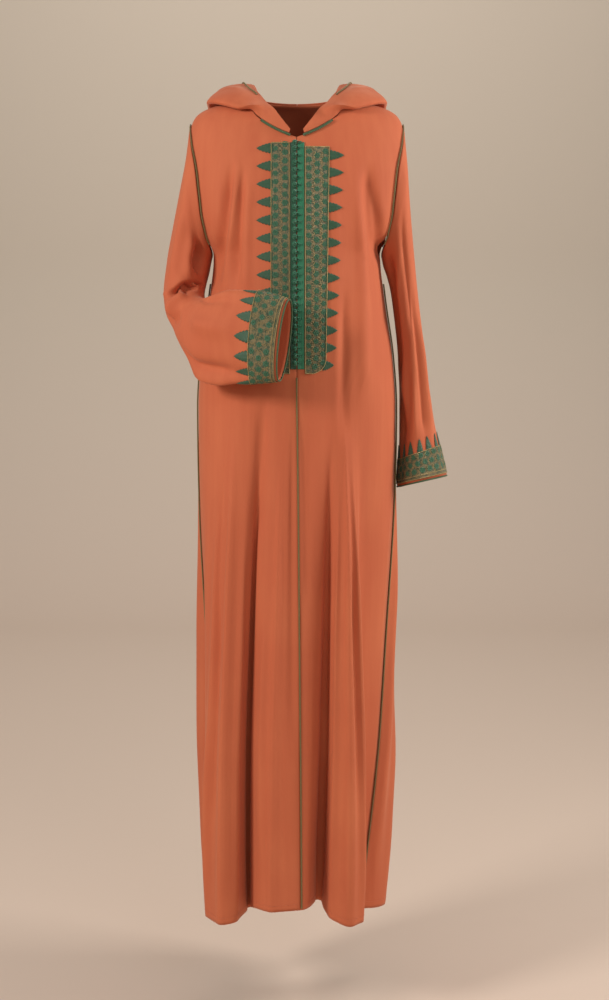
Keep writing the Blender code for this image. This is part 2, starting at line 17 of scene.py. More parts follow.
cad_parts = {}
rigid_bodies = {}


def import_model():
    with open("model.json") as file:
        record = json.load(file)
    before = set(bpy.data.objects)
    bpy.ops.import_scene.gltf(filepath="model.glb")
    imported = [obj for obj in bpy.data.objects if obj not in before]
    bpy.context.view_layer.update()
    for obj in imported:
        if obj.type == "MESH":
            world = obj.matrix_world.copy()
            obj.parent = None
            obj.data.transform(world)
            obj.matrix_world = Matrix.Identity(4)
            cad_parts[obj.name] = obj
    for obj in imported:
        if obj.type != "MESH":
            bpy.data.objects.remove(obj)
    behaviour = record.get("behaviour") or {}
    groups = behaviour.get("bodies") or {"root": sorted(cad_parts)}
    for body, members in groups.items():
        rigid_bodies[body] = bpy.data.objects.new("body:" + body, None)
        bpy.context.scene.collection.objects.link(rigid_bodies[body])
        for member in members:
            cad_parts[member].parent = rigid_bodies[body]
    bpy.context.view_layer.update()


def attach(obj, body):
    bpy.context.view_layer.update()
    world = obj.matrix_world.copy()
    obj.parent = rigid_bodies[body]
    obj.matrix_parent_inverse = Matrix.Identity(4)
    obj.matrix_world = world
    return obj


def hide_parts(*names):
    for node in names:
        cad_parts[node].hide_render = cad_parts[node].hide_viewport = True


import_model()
MM = 0.001

# %% [markdown]
# ## Camera, light and backdrop
# The robe is seen from the front by a lens a little below the chest, tipped slightly down. A long sweep of
# pale card gives floor and wall without a corner. The light is a studio's: one large soft key, a fill from
# the other side and a rim light that draws the outline. Large area lights keep every shadow soft, which is
# what shows the folds in a matt cloth.


# %% Camera
def linear(hex_colour):
    """An sRGB hex colour as linear light."""
    parts = [int(hex_colour[i : i + 2], 16) / 255 for i in (1, 3, 5)]
    return tuple(c / 12.92 if c <= 0.04045 else ((c + 0.055) / 1.055) ** 2.4 for c in parts)


lens = bpy.data.cameras.new("camera")
lens.sensor_fit = "VERTICAL"
lens.angle = math.radians(34.9)
camera = bpy.data.objects.new("camera", lens)
camera.location = (0.0131, -2.8, -0.394)
camera.rotation_euler = (math.radians(90 - 6.07), 0, 0)
bpy.context.scene.collection.objects.link(camera)
bpy.context.scene.camera = camera


# %% Lights
def area_light(name, place, aim, size, power, colour):
    """A square area light that looks at a point."""
    lamp = bpy.data.lights.new(name, "AREA")
    lamp.size = size
    lamp.energy = power
    lamp.color = linear(colour)
    held = bpy.data.objects.new(name, lamp)
    held.location = place
    held.rotation_euler = (Vector(aim) - Vector(place)).to_track_quat("-Z", "Y").to_euler()
    bpy.context.scene.collection.objects.link(held)


area_light("key", (-2.1, -1.6, 0.6), (0, 0, -0.7), 0.7, 50, "#FFF8F2")
area_light("fill", (1.3, -2.9, 0.5), (0, 0, -0.7), 1.4, 15, "#F4F2F6")
area_light("rim", (2.0, -0.3, 0.3), (0, 0, -0.6), 0.8, 36, "#FFF8F2")
area_light("wall_wash", (0, 2.4, 2.8), (0, 5.2, -0.6), 3.0, 80, "#FBF6F2")
world = bpy.data.worlds.new("soft studio")
world.use_nodes = True
world.node_tree.nodes["Background"].inputs["Color"].default_value = (*linear("#E6E4E2"), 1)
world.node_tree.nodes["Background"].inputs["Strength"].default_value = 0.40
bpy.context.scene.world = world
bpy.context.scene.view_settings.view_transform = "Standard"

# %% [markdown]
# ## Adding nodes
# Every finish below is a small tree of nodes, so one function adds a node, sets it and links it.


# %% One function adds a node
def add_node(tree, kind, settings=None, **inputs):
    """Adds a node to a tree; an input is given a value, or another node's output to link."""
    made = tree.nodes.new(kind)
    for name, value in (settings or {}).items():
        setattr(made, name, value)
    for name, value in inputs.items():
        socket = made.inputs[int(name[1:])] if name[0] == "_" else made.inputs[name.replace("_", " ")]
        if isinstance(value, bpy.types.NodeSocket):
            tree.links.new(value, socket)
        else:
            socket.default_value = value
    return made


def new_material(name):
    """A material with its tree and its shader."""
    material = bpy.data.materials.new(name)
    material.use_nodes = True
    tree = material.node_tree
    return material, tree, tree.nodes["Principled BSDF"]


def two_tone(tree, amount, low, high):
    """A colour between two hex colours, by an amount from 0 to 1."""
    ramp = add_node(tree, "ShaderNodeValToRGB", Fac=amount)
    ramp.color_ramp.elements[0].color = (*linear(low), 1)
    ramp.color_ramp.elements[1].color = (*linear(high), 1)
    return ramp


# %% [markdown]
# ## Terracotta crepe
# The robe is a polyester crepe: a plain weave of hard-twisted yarns, which gives a fine pebbled face, no
# shine and a soft bloom where it turns away from the eye. Real grain is about 0.4 mm, too fine to show, so
# it is drawn at 1.6 mm. A large slow noise varies the dye a little, and a stretched one along the warp gives
# the faint vertical streaks of hanging cloth. Sheen gives the bloom.


# %% Crepe
def crepe_finish():
    material, tree, shader = new_material("terracotta crepe")
    place = add_node(tree, "ShaderNodeTexCoord").outputs["Object"]
    warp = add_node(tree, "ShaderNodeMapping", Vector=place, Scale=(60, 60, 4))
    streak = add_node(tree, "ShaderNodeTexNoise", Vector=warp.outputs["Vector"], Scale=1.0, Detail=3.0)
    cloud = add_node(tree, "ShaderNodeTexNoise", Vector=place, Scale=5.0, Detail=2.0)
    mixed = add_node(tree, "ShaderNodeMath", {"operation": "MULTIPLY"}, _0=streak.outputs["Fac"], _1=0.3)
    dye = add_node(
        tree,
        "ShaderNodeMath",
        {"operation": "MULTIPLY_ADD"},
        _0=cloud.outputs["Fac"],
        _1=0.5,
        _2=mixed.outputs[0],
    )
    colour = two_tone(tree, dye.outputs[0], "#C26340", "#D0734B")
    colour.color_ramp.elements[0].position = 0.35
    colour.color_ramp.elements[1].position = 0.65
    pebble = add_node(tree, "ShaderNodeTexNoise", Vector=place, Scale=620.0, Detail=2.0, Roughness=0.6)
    crumple = add_node(tree, "ShaderNodeTexNoise", Vector=warp.outputs["Vector"], Scale=2.2, Detail=4.0)
    grain = add_node(tree, "ShaderNodeBump", Height=pebble.outputs["Fac"], Strength=0.22, Distance=0.0006)
    bump = add_node(
        tree,
        "ShaderNodeBump",
        Height=crumple.outputs["Fac"],
        Strength=0.12,
        Distance=0.002,
        Normal=grain.outputs[0],
    )
    tree.links.new(colour.outputs["Color"], shader.inputs["Base Color"])
    tree.links.new(bump.outputs["Normal"], shader.inputs["Normal"])
    shader.inputs["Roughness"].default_value = 0.78
    shader.inputs["Specular IOR Level"].default_value = 0.3
    shader.inputs["Sheen Weight"].default_value = 0.2
    shader.inputs["Sheen Roughness"].default_value = 0.45
    shader.inputs["Sheen Tint"].default_value = (*linear("#FFD9BC"), 1)
    return material


CREPE = crepe_finish()

# %% [markdown]
# ## Silk thread, braid, cord and gold
# The embroidery is rayon floss, which lies in parallel stitches and shines along them. Braids and buttons
# are wound from the same floss in emerald green. The thin cords on the seams are twisted from olive and
# brown yarn. The scrolls are couched gold lurex. Each finish has its own thread direction: a wave across the
# stitch for floss, a slanted wave along the length for a twist, both read from the piece's UV map in
# millimetres. Thread is drawn about twice its real 0.4 mm so that it shows.


# %% Threads
def thread_finish(name, low, high, roughness, spacing, slant, sheen, depth=0.35, metallic=0.0):
    """Floss or twisted yarn: a wave across the UV map, whose unit is a millimetre."""
    material, tree, shader = new_material(name)
    place = add_node(tree, "ShaderNodeUVMap").outputs["UV"]
    turned = add_node(tree, "ShaderNodeMapping", Vector=place, Rotation=(0, 0, math.radians(slant)))
    strand = add_node(
        tree, "ShaderNodeTexWave", Vector=turned.outputs["Vector"], Scale=0.314 / spacing, Distortion=0.6
    )
    speck = add_node(tree, "ShaderNodeTexNoise", Vector=place, Scale=0.9, Detail=3.0)
    faint = add_node(tree, "ShaderNodeMath", {"operation": "MULTIPLY"}, _0=speck.outputs["Fac"], _1=0.6)
    blend = add_node(
        tree,
        "ShaderNodeMath",
        {"operation": "MULTIPLY_ADD"},
        _0=strand.outputs["Fac"],
        _1=0.55,
        _2=faint.outputs[0],
    )
    colour = two_tone(tree, blend.outputs[0], low, high)
    bump = add_node(tree, "ShaderNodeBump", Height=strand.outputs["Fac"], Strength=depth, Distance=0.0005)
    tree.links.new(colour.outputs["Color"], shader.inputs["Base Color"])
    tree.links.new(bump.outputs["Normal"], shader.inputs["Normal"])
    shader.inputs["Roughness"].default_value = roughness
    shader.inputs["Metallic"].default_value = metallic
    shader.inputs["Sheen Weight"].default_value = sheen
    return material


LEAF_SILK = thread_finish("dark green floss, satin stitch", "#0C2E1C", "#2C5E3C", 0.5, 0.8, 90, 0.2)
FLOWER_SILK = thread_finish("mid green floss, satin stitch", "#12402A", "#2F6A45", 0.5, 0.7, 30, 0.2)
BRAID_SILK = thread_finish("emerald flat braid", "#0E5238", "#2E8C63", 0.36, 1.1, 45, 0.25, 0.6)
BUTTON_SILK = thread_finish("emerald silk knot", "#0A3A28", "#237350", 0.3, 1.0, 35, 0.2, 0.6)
CORD_YARN = thread_finish("olive and brown twisted cord", "#4A3A1A", "#8A7A3E", 0.6, 1.2, 50, 0.15, 0.7)
NECK_YARN = thread_finish("dark green twisted cord", "#14351F", "#4C6B3C", 0.55, 1.6, 50, 0.15, 0.7)
GOLD_THREAD = thread_finish("couched gold lurex", "#7C6638", "#CDB880", 0.45, 0.6, 90, 0.0, 0.5, 0.35)
SEWING_THREAD = thread_finish("terracotta sewing thread", "#A34A2A", "#D97C54", 0.55, 0.5, 90, 0.1)


# %% Embroidery ground
def ground_finish():
    """The chest piece's ground: brown and olive filling stitches in small blocks."""
    material, tree, shader = new_material("olive and brown filling stitch")
    place = add_node(tree, "ShaderNodeUVMap").outputs["UV"]
    cells = add_node(tree, "ShaderNodeTexVoronoi", Vector=place, Scale=0.42)
    blocks = add_node(tree, "ShaderNodeTexNoise", Vector=place, Scale=0.16, Detail=3.0)
    strand = add_node(tree, "ShaderNodeTexWave", Vector=place, Scale=0.45, Distortion=3.0)
    tone = add_node(
        tree,
        "ShaderNodeMath",
        {"operation": "MULTIPLY_ADD"},
        _0=cells.outputs["Distance"],
        _1=0.45,
        _2=blocks.outputs["Fac"],
    )
    colour = two_tone(tree, tone.outputs[0], "#263420", "#7C6C46")
    middle = colour.color_ramp.elements.new(0.6)
    middle.color = (*linear("#3C4E33"), 1)
    colour.color_ramp.elements[0].position = 0.4
    colour.color_ramp.elements[2].position = 0.85
    bump = add_node(tree, "ShaderNodeBump", Height=strand.outputs["Fac"], Strength=0.5, Distance=0.0005)
    tree.links.new(colour.outputs["Color"], shader.inputs["Base Color"])
    tree.links.new(bump.outputs["Normal"], shader.inputs["Normal"])
    shader.inputs["Roughness"].default_value = 0.6
    shader.inputs["Sheen Weight"].default_value = 0.15
    return material


GROUND = ground_finish()


# %% Backdrop
def backdrop_finish():
    material, tree, shader = new_material("painted studio sweep")
    place = add_node(tree, "ShaderNodeTexCoord").outputs["Object"]
    height = add_node(tree, "ShaderNodeSeparateXYZ", Vector=place)
    rise = add_node(
        tree,
        "ShaderNodeMapRange",
        Value=height.outputs["Z"],
        **{"From_Min": -1.6, "From_Max": -0.2},
    )
    colour = two_tone(tree, rise.outputs["Result"], "#D2C0B0", "#D0C4B4")
    paint = add_node(tree, "ShaderNodeTexNoise", Vector=place, Scale=180.0)
    bump = add_node(tree, "ShaderNodeBump", Height=paint.outputs["Fac"], Strength=0.05, Distance=0.001)
    tree.links.new(colour.outputs["Color"], shader.inputs["Base Color"])
    tree.links.new(bump.outputs["Normal"], shader.inputs["Normal"])
    shader.inputs["Roughness"].default_value = 0.9
    shader.inputs["Specular IOR Level"].default_value = 0.15
    return material


def build_sweep():
    """A card that runs flat under the robe and curves up behind it."""
    floor, back, radius, half = -1.6, 5.2, 1.6, 9.0
    outline = [(-8.0, floor)]
    for step in range(25):
        angle = math.pi / 2 * step / 24
        outline.append((back - radius + radius * math.sin(angle), floor + radius - radius * math.cos(angle)))
    outline.append((back, 7.0))
    mesh = bpy.data.meshes.new("sweep")
    points = [(x, y, z) for x in (-half, half) for y, z in outline]
    count = len(outline)
    faces = [(k, count + k, count + k + 1, k + 1) for k in range(count - 1)]
    mesh.from_pydata(points, [], faces)
    mesh.shade_smooth()
    mesh.materials.append(backdrop_finish())
    sweep = bpy.data.objects.new("sweep", mesh)
    bpy.context.scene.collection.objects.link(sweep)


build_sweep()

# %% [markdown]
# ## The robe's form
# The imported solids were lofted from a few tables: the form's half width and depths at each height, the
# neckline, the fold lines round the skirt, the rings of the two sleeves and the lie of the hood. The same
# tables are repeated here and read as whole arrays at once, so that the cloth can be drawn again a few
# millimetres at a time and still lie on its solids. Everything is in millimetres; +X is the wearer's left.

# %% Tables of the form
HEM_HEIGHT, WAIST_HEIGHT, UNDERARM_HEIGHT = -1418.0, -520.0, -268.0
YOKE_HEIGHT, SHOULDER_TIP_HEIGHT, ARMHOLE_DEPTH = -82.0, -45.0, 0.30
CLOTH, SEAM_GAP, ARMHOLE_GAP, ARMHOLE_CORD_INSET = 1.5, 0.5, 2.5, 4.0
SQUARENESS, FOLD_GROWTH, LINE_SWING, HEM_LENGTH = 2.2, 1.15, 0.85, 1150.0
SECTIONS = """
height  half_width  front  back
     2          66     48    64
    -2          96     54    70
    -7         125     60    77
   -13         148     66    83
   -20         164     72    88
   -28         174     77    93
   -41         181     84    98
   -60         185     91   103
   -90         188    100   108
  -140         187    112   114
  -190         179    121   116
  -230         163    126   115
  -268         145    128   113
  -332         152    127   111
  -440         168    125   112
  -520         174    124   115
  -710         176    125   122
  -925         172    127   127
 -1100         170    126   128
 -1250         163    122   126
 -1418         154    118   122
"""
NECKLINE = """
bearing  height
      0     -72
     10     -56
     20     -35
     25     -20
     32      -9
     44      -2
     90       2
    180       1
"""
FOLDS = """
line             waist  hem  depth  rise
centre_front         0    2     28    30
left_trough         17   14    -32    24
left_rise           22   19     10     8
left_crest          25   28     40     0
left_edge           28   38     27     0
left_recess         36   46    -14     2
side_seam_left      88   55    -20     0
left_hip           104   84      4    -6
back_trough_1      122  108    -16    -4
back_crest_1       138  128     26    -8
back_trough_2      154  147    -22     4
back_crest_2       172  166     30   -10
back_trough_3      189  187    -26     2
back_crest_3       207  208     28    -8
back_trough_4      224  228    -18     2
back_crest_4       243  247     18    -6
right_hip          258  266     12     0
side_seam_right    273  291    -22     4
right_edge         319  304     36     0
right_crest        327  319     50     0
right_fall         336  326     34     4
right_trough       344  325    -20    10
centre_rise        348  337     16    25
centre_crest       354  348     34    28
"""
BENT_SLEEVE = """
inner_x  inner_z  outer_x  outer_z  place  half_depth  bow
   -150     -280     -192     -100      0          54    9
   -152     -291     -203     -155      0          54    8
   -155     -303     -214     -210     -2          53    5
   -158     -316     -226     -275     -7          50    2
   -160     -327     -231     -330    -19          48    0
   -161     -334     -224     -368    -36          43    0
   -160     -339     -204     -400    -62          36    0
   -153     -339     -181     -439    -93          30    0
   -140     -335     -158     -471   -119          27    0
   -108     -326     -118     -478   -143          27    0
    -64     -329      -76     -479   -163          27    0
    -13     -343      -30     -476   -180          27    0
"""
STRAIGHT_SLEEVE = """
inner_x  inner_z  outer_x  outer_z  place  half_depth  bow
    150     -281      190     -100      0          54    9
    156     -298      196     -170      4          54    7
    163     -325      204     -250     10          52    4
    170     -375      213     -330     15          50    2
    177     -440      224     -412     17          50    0
    181     -510      233     -485     17          50    0
    181     -580      243     -556     15          50    0
    179     -628      254     -603     11          51    0
    177     -667      265     -647      7          52    0
"""
HOOD = """
bearing  fold_x  fold_y  fold_z  rim_x  rim_y  rim_z  fullness  loft
      3      12     -96     -63     11    -92    -58         2     0
     10      37     -92     -50     27    -80    -37         2     0
     16      56     -86     -38     39    -65    -20         3     0
     20      72     -81     -33     50    -54    -10         6     2
     25      98     -72     -24     60    -42      3         9     8
     32     128     -50     -15     67    -29     12         9    10
     44     143     -28     -11     70    -14     20         9    10
     60     148     -12      -9     74      0     27        10    11
     90     150      10      -9     77     22     29        10    11
    110     148      32     -13     78     42     24        11    12
    140     124      86     -64     74     88      8        13    18
    160      72     114    -190     46    124    -12        14    22
    175      18     121    -329     12    135    -19        14    20
    180       0     121    -330      0    135    -20        14    20
"""
HOOD_COLUMNS = [3, 8, 13, 17, 21, 25, 30, 37, 47, 62, 80, 98, 113, 125, 135, 144, 153, 163, 171, 176, 180]
HOOD_CLEARANCE, HOOD_ROLL, HOOD_SEAM_RISE, HOOD_CORD_PLACE = 6.5, 11.0, 3.0, 0.8


# %% Curves through the tables
def columns_of(table):
    """A table's columns by name; a first column of words stays words."""
    rows = [line.split() for line in table.strip().splitlines()]
    found = {}
    for place, name in enumerate(rows[0]):
        cells = [row[place] for row in rows[1:]]
        found[name] = cells if name == "line" else np.array(cells, float)
    return found


def eased(x, knots, values):
    """Values between knots on a smooth curve that never overshoots; places may each have their own values."""
    knots, values = np.asarray(knots, float), np.asarray(values, float)
    x = np.clip(np.atleast_1d(np.asarray(x, float)), knots[0], knots[-1])
    gaps = np.diff(knots).reshape(-1, *[1] * (values.ndim - 1))
    rises = np.diff(values, axis=0) / gaps
    before, after = rises[:-1], rises[1:]
    weight_1, weight_2 = 2 * gaps[1:] + gaps[:-1], gaps[1:] + 2 * gaps[:-1]
    turning = before * after <= 0
    before, after = np.where(turning, 1, before), np.where(turning, 1, after)
    inner = np.where(turning, 0, (weight_1 + weight_2) / (weight_1 / before + weight_2 / after))
    slopes = np.concatenate([rises[:1], inner, rises[-1:]])
    k = np.clip(np.searchsorted(knots, x) - 1, 0, len(knots) - 2)
    gap = knots[k + 1] - knots[k]
    t = (x - knots[k]) / gap
    picked = (k,) if values.ndim == 1 else (k, np.arange(len(x)))
    after_picked = (k + 1, *picked[1:])
    if values.ndim > 1:
        t, gap = t[:, None], gap[:, None]
    start = (1 + 2 * t) * (1 - t) ** 2 * values[picked] + t * (1 - t) ** 2 * gap * slopes[picked]
    end = t * t * (3 - 2 * t) * values[after_picked] + t * t * (t - 1) * gap * slopes[after_picked]
    return start + end


def smooth_step(t):
    t = np.clip(t, 0.0, 1.0)
    return t * t * (3 - 2 * t)


def mixed(a, b, t):
    return a + (b - a) * t


def to_unit(vectors):
    """Vectors brought to length 1."""
    return vectors / np.linalg.norm(vectors, axis=-1, keepdims=True)


sections, neckline, folds, hood = (columns_of(table) for table in (SECTIONS, NECKLINE, FOLDS, HOOD))
section_heights = sections["height"][::-1]
section_columns = [sections[name][::-1] for name in ("half_width", "front", "back")]


# %% The form without folds
def form_sizes(height):
    """Half width, front depth and back depth of the form at heights."""
    return [eased(height, section_heights, column) for column in section_columns]


def form_point(bearing, height):
    """Points of the unfolded form and their level outward normals, at bearings in degrees."""
    bearing, height = np.broadcast_arrays(np.atleast_1d(bearing).astype(float), height)
    half_width, front, back = form_sizes(height)
    side, ahead = np.sin(np.radians(bearing)), np.cos(np.radians(bearing))
    depth = np.where(ahead > 0, front, back)
    x = half_width * np.sign(side) * np.abs(side) ** (2 / SQUARENESS)
    y = -depth * np.sign(ahead) * np.abs(ahead) ** (2 / SQUARENESS)
    lean_x = np.sign(x) * (np.abs(x) / half_width) ** (SQUARENESS - 1) / half_width
    lean_y = np.sign(y) * (np.abs(y) / depth) ** (SQUARENESS - 1) / depth
    return np.stack([x, y, height], -1), to_unit(np.stack([lean_x, lean_y, 0 * x], -1))


def form_normal(points):
    """The unfolded form's outward unit normals at points on it, slope and all."""
    half_width, front, back = form_sizes(points[:, 2])
    above = form_sizes(points[:, 2] + 1)
    ahead = points[:, 1] < 0
    depth, depth_above = np.where(ahead, front, back), np.where(ahead, above[1], above[2])
    reach_x, reach_y = np.abs(points[:, 0]) / half_width, np.abs(points[:, 1]) / depth
    lean_x = np.sign(points[:, 0]) * reach_x ** (SQUARENESS - 1) / half_width
    lean_y = np.sign(points[:, 1]) * reach_y ** (SQUARENESS - 1) / depth
    narrowing = (half_width - above[0]) / half_width * reach_x**SQUARENESS
    lean_z = narrowing + (depth - depth_above) / depth * reach_y**SQUARENESS
    return to_unit(np.stack([lean_x, lean_y, lean_z], -1))


def hem_shares():
    """Where each fold line lies in the cloth, as a share of the hem's length from centre front."""
    at, out = form_point(folds["hem"], HEM_HEIGHT)
    points = at + out * folds["depth"][:, None]
    steps = np.linalg.norm(np.roll(points, -1, axis=0) - points, axis=1)
    return np.concatenate([[0], np.cumsum(steps)]) / steps.sum()


shares = hem_shares()
line_share = dict(zip(folds["line"], shares))
LEFT_SEAM, RIGHT_SEAM = line_share["side_seam_left"], line_share["side_seam_right"]


# %% The hanging cloth
def round_the_hem(share, values, turn=0.0):
    """A fold column's values at shares of the hem; turn is what one whole round adds."""
    knots = np.concatenate([shares[-4:-1] - 1, shares, shares[1:4] + 1])
    ring = np.concatenate([values, [values[0] + turn]])
    return eased(share, knots, np.concatenate([ring[-4:-1] - turn, ring, ring[1:4] + turn]))


def bust_bearing(share):
    """Above the waist the cloth lies evenly between centre front, side seams and centre back."""
    stops = [RIGHT_SEAM - 1, 0, LEFT_SEAM, RIGHT_SEAM, 1, 1 + LEFT_SEAM]
    return np.interp(share, stops, [-90, 0, 90, 270, 360, 450])


def armhole_bite(height):
    """How far the panel's edge draws in at the armhole, as the share of 90 degrees that is left."""
    down = np.clip((SHOULDER_TIP_HEIGHT - height) / (SHOULDER_TIP_HEIGHT - UNDERARM_HEIGHT), 0, 1)
    return 1 - ARMHOLE_DEPTH * np.sin(np.pi * down) ** 0.55


def drawn_in(bearing, height):
    """The bearing with the cloth drawn in from the armholes."""
    quarter = bearing % 360
    ahead = (quarter <= 90) | (quarter >= 270)
    middle = np.where(ahead, np.where(quarter >= 270, 360, 0), 180)
    return middle + (quarter - middle) * armhole_bite(height)


def neckline_height(bearing):
    quarter = np.asarray(bearing) % 360
    return eased(np.minimum(quarter, 360 - quarter), neckline["bearing"], neckline["height"])


def body_point(share, level):
    """The cloth at shares round the hem. Level is 0 at the hem, 1 at the yoke and 2 at the neckline."""
    share, level = np.broadcast_arrays(np.atleast_1d(share).astype(float), level)
    bust = bust_bearing(share)
    up = np.clip(level - 1, 0, 1)
    yoke_bearing = drawn_in(bust, mixed(YOKE_HEIGHT, section_heights[-1], up))
    yoke = form_point(yoke_bearing, mixed(YOKE_HEIGHT, neckline_height(yoke_bearing), up))[0]
    height = mixed(HEM_HEIGHT, YOKE_HEIGHT, np.minimum(level, 1))
    below_waist = np.clip((WAIST_HEIGHT - height) / (WAIST_HEIGHT - HEM_HEIGHT), 0, None)
    waist, hem = round_the_hem(share, folds["waist"], 360), round_the_hem(share, folds["hem"], 360)
    settled = smooth_step((UNDERARM_HEIGHT - height) / (UNDERARM_HEIGHT - WAIST_HEIGHT))
    bearing = mixed(bust, mixed(waist, hem, below_waist**LINE_SWING), settled)
    at, out = form_point(drawn_in(bearing, height), height)
    opened = 0.05 * settled + 0.95 * below_waist**FOLD_GROWTH
    at = at + out * (round_the_hem(share, folds["depth"]) * opened)[:, None]
    at[:, 2] += round_the_hem(share, folds["rise"]) * below_waist**3
    return np.where((level > 1)[:, None], yoke, at)


def level_of(height):
    return (np.asarray(height, float) - HEM_HEIGHT) / (YOKE_HEIGHT - HEM_HEIGHT)


def outward(surface, u, v, step_u, step_v):
    """The unit normals of surface(u, v)."""
    along = surface(u + step_u, v) - surface(u - step_u, v)
    up = surface(u, v + step_v) - surface(u, v - step_v)
    return to_unit(np.cross(along, up))


# %% [markdown]
# ## Creases
# The solids carry the main folds. Between them lie smaller ones: pulls from the armholes across the chest,
# a deep tuck inside the bent elbow, long soft pleats that fall from the hips and open towards the hem. Each
# is one line on the flat cloth with a width and a depth. Every point of the cloth near the line is moved in
# or out by a soft hump that fades at the line's ends. No two lines share a length, width and depth.

# %% Crease tables, in millimetres on the cloth; a negative depth is a trough
CHEST_CREASES = """
x_from  z_from  x_to  z_to  bend  width  depth
  -106    -100  -149  -345     4      9   -10
   -89    -108  -104  -340     2      6    -6
   -97     -96  -122  -330     2      7     6
   -76    -120   -86  -360    -3     10     4
   120    -104   143  -285    -8     12   -11
   121    -112   162  -450     8      7    -7
   101    -120   116  -560     3     10     7
    80    -300    82  -600    -2     10    -6
    62    -130    66  -480     2      9     3
   -60    -500   -66  -760     3     12    -4
  -118    -350  -128  -520     3     11     4
"""
BACK_CREASES = """
x_from  z_from  x_to  z_to  bend  width  depth
  -128     -96  -112  -330     6     11    -8
  -104    -140  -120  -420    -4      9     5
   -70    -360   -58  -640     3     12    -5
     8    -340     2  -620    -3     13     5
    66    -380    60  -700     4     11    -5
   108    -130   122  -400     5      9     5
   130    -100   112  -320    -6     11    -8
    36    -420    44  -560     2      9    -4
"""
SKIRT_CREASES = """
line             offset  top    low  lean  width  depth
centre_front         10  -480  -900     2      7    -3
centre_front        -13  -520 -1180    -3      9    -4
left_trough           2  -560 -1520     0     10   -13
left_rise             2  -620 -1520     0      7     6
left_crest            0  -540 -1520     2      9    10
left_crest           14  -760 -1240     2      7    -4
left_edge             0  -600 -1520    -2      8    10
left_recess           0  -520 -1520     0     11   -10
left_recess          34  -700 -1360    -5     12     6
left_recess          66  -560 -1180     4     11    -6
side_seam_left       22  -600 -1500     0     12     6
left_hip              0  -640 -1500     6     13     7
back_trough_1         0  -560 -1520     0     11    -8
back_crest_1          0  -620 -1520    -4     12     8
back_crest_1         22  -780 -1300     4      9    -4
back_trough_2         0  -540 -1520     3     10   -11
back_crest_2         -3  -600 -1520     0     12     8
back_trough_3         0  -700 -1520     2     11   -10
back_crest_3          2  -560 -1520    -3     12     8
back_crest_3         24  -820 -1380     0      8    -4
back_trough_4         0  -620 -1520     0     10    -8
back_crest_4          0  -560 -1520     4     13     7
right_hip             0  -700 -1500    -3     12     6
right_hip            30  -580 -1240     3     11    -4
side_seam_right      34  -640 -1360     4     12     6
side_seam_right      62  -540 -1200    -4     10    -6
right_edge            0  -560 -1520     0      9    11
right_edge           15  -800 -1300     3      8    -6
right_crest           0  -540 -1520     0      8    10
right_fall            0  -700 -1520     2      9     4
right_trough          0  -580 -1520     0      9   -13
centre_rise           4  -840 -1360     3      8     4
centre_crest          0  -560 -1520    -2      8     7
"""
BENT_CREASES = """
turn_from  along_from  turn_to  along_to  bend  width  depth
     0.37          28     0.34       126     0     10   -20
     0.30          50     0.28       165     3     10     6
     0.44         150     0.20       222     6     10   -22
     0.42         190     0.30       216     2     13   -18
     0.38         244     0.10       232    12      9     9
     0.02         205     0.30       262    10      9   -10
     0.08         176     0.28       214     6     10     6
     0.46         262     0.36       420     3      9    -6
     0.31         282     0.27       402     3     11     8
     0.12         270     0.09       430    -3      9   -11
     0.04         280     0.04       430     2     10    10
     0.20          60     0.14       168     3     12     4
     0.60          40     0.64       190     4     12    -9
     0.76          60     0.70       240    -4     13     8
     0.86         160     0.90       340     5     12    -8
     0.66         240     0.72       420     3     11    -6
     0.80         330     0.80       440     0     12     6
"""
STRAIGHT_CREASES = """
turn_from  along_from  turn_to  along_to  bend  width  depth
     0.42          16     0.40       330     4     10   -10
     0.34          60     0.37       420    -3      9     6
     0.28          20     0.24       260     4     12    -6
     0.19         140     0.20       540     3      9    -6
     0.13         200     0.12       540    -2     10     6
     0.07          40     0.04       380     3     11    -6
     0.27         300     0.30       540     3      8     4
     0.40         330     0.43       540     3      9    -8
     0.58          30     0.56       300     4     12    -8
     0.66         120     0.70       460    -4     13     8
     0.80          60     0.76       350     4     12    -8
     0.88         240     0.90       540     3     10     6
"""
HOOD_CREASES = """
bearing_from  across_from  bearing_to  across_to  bend  width  depth
          30           60          52         30     4      9      2
          66           20          96         80    -4     10      2
         104           70         128         15     6     11     -3
         132           20         150         84     5     10      3
         150           10         163         70    -4      9     -4
         160           30         172         92     4     10      3
         168            0         174         60     3      8     -3
"""
SLEEVE_GIRTH = 300.0  # millimetres round a sleeve, for its crease table
HOOD_STRETCH = 2.4  # millimetres to a degree of bearing, for the hood's crease table


def crease_lift(u, v, lines, wrap=None):
    """How far creases move the cloth at (u, v); wrap is the girth of a closed tube."""
    total = np.zeros(len(u))
    for u_from, v_from, u_to, v_to, bend, width, depth in lines:
        middle = (u_from + u_to) / 2
        near = u if wrap is None else middle + (u - middle + wrap / 2) % wrap - wrap / 2
        run, fall = u_to - u_from, v_to - v_from
        length = math.hypot(run, fall)
        t = np.clip(((near - u_from) * run + (v - v_from) * fall) / length**2, 0, 1)
        off = bend * np.sin(np.pi * t)
        beside_u = near - u_from - run * t + fall / length * off
        beside_v = v - v_from - fall * t - run / length * off
        gap = np.hypot(beside_u, beside_v)
        fade = smooth_step(t / 0.3) * smooth_step((1 - t) / 0.25)
        total += depth * np.exp(-((gap / (width * (0.8 + 0.4 * t))) ** 2)) * fade
    return total


def lines_of(table, *scale):
    """A crease table's rows; the first numbers scale its four coordinates to millimetres."""
    rows = [[float(cell) for cell in line.split()] for line in table.strip().splitlines()[1:]]
    factors = [*scale, 1, 1, 1]
    return [[value * factor for value, factor in zip(row, factors)] for row in rows]


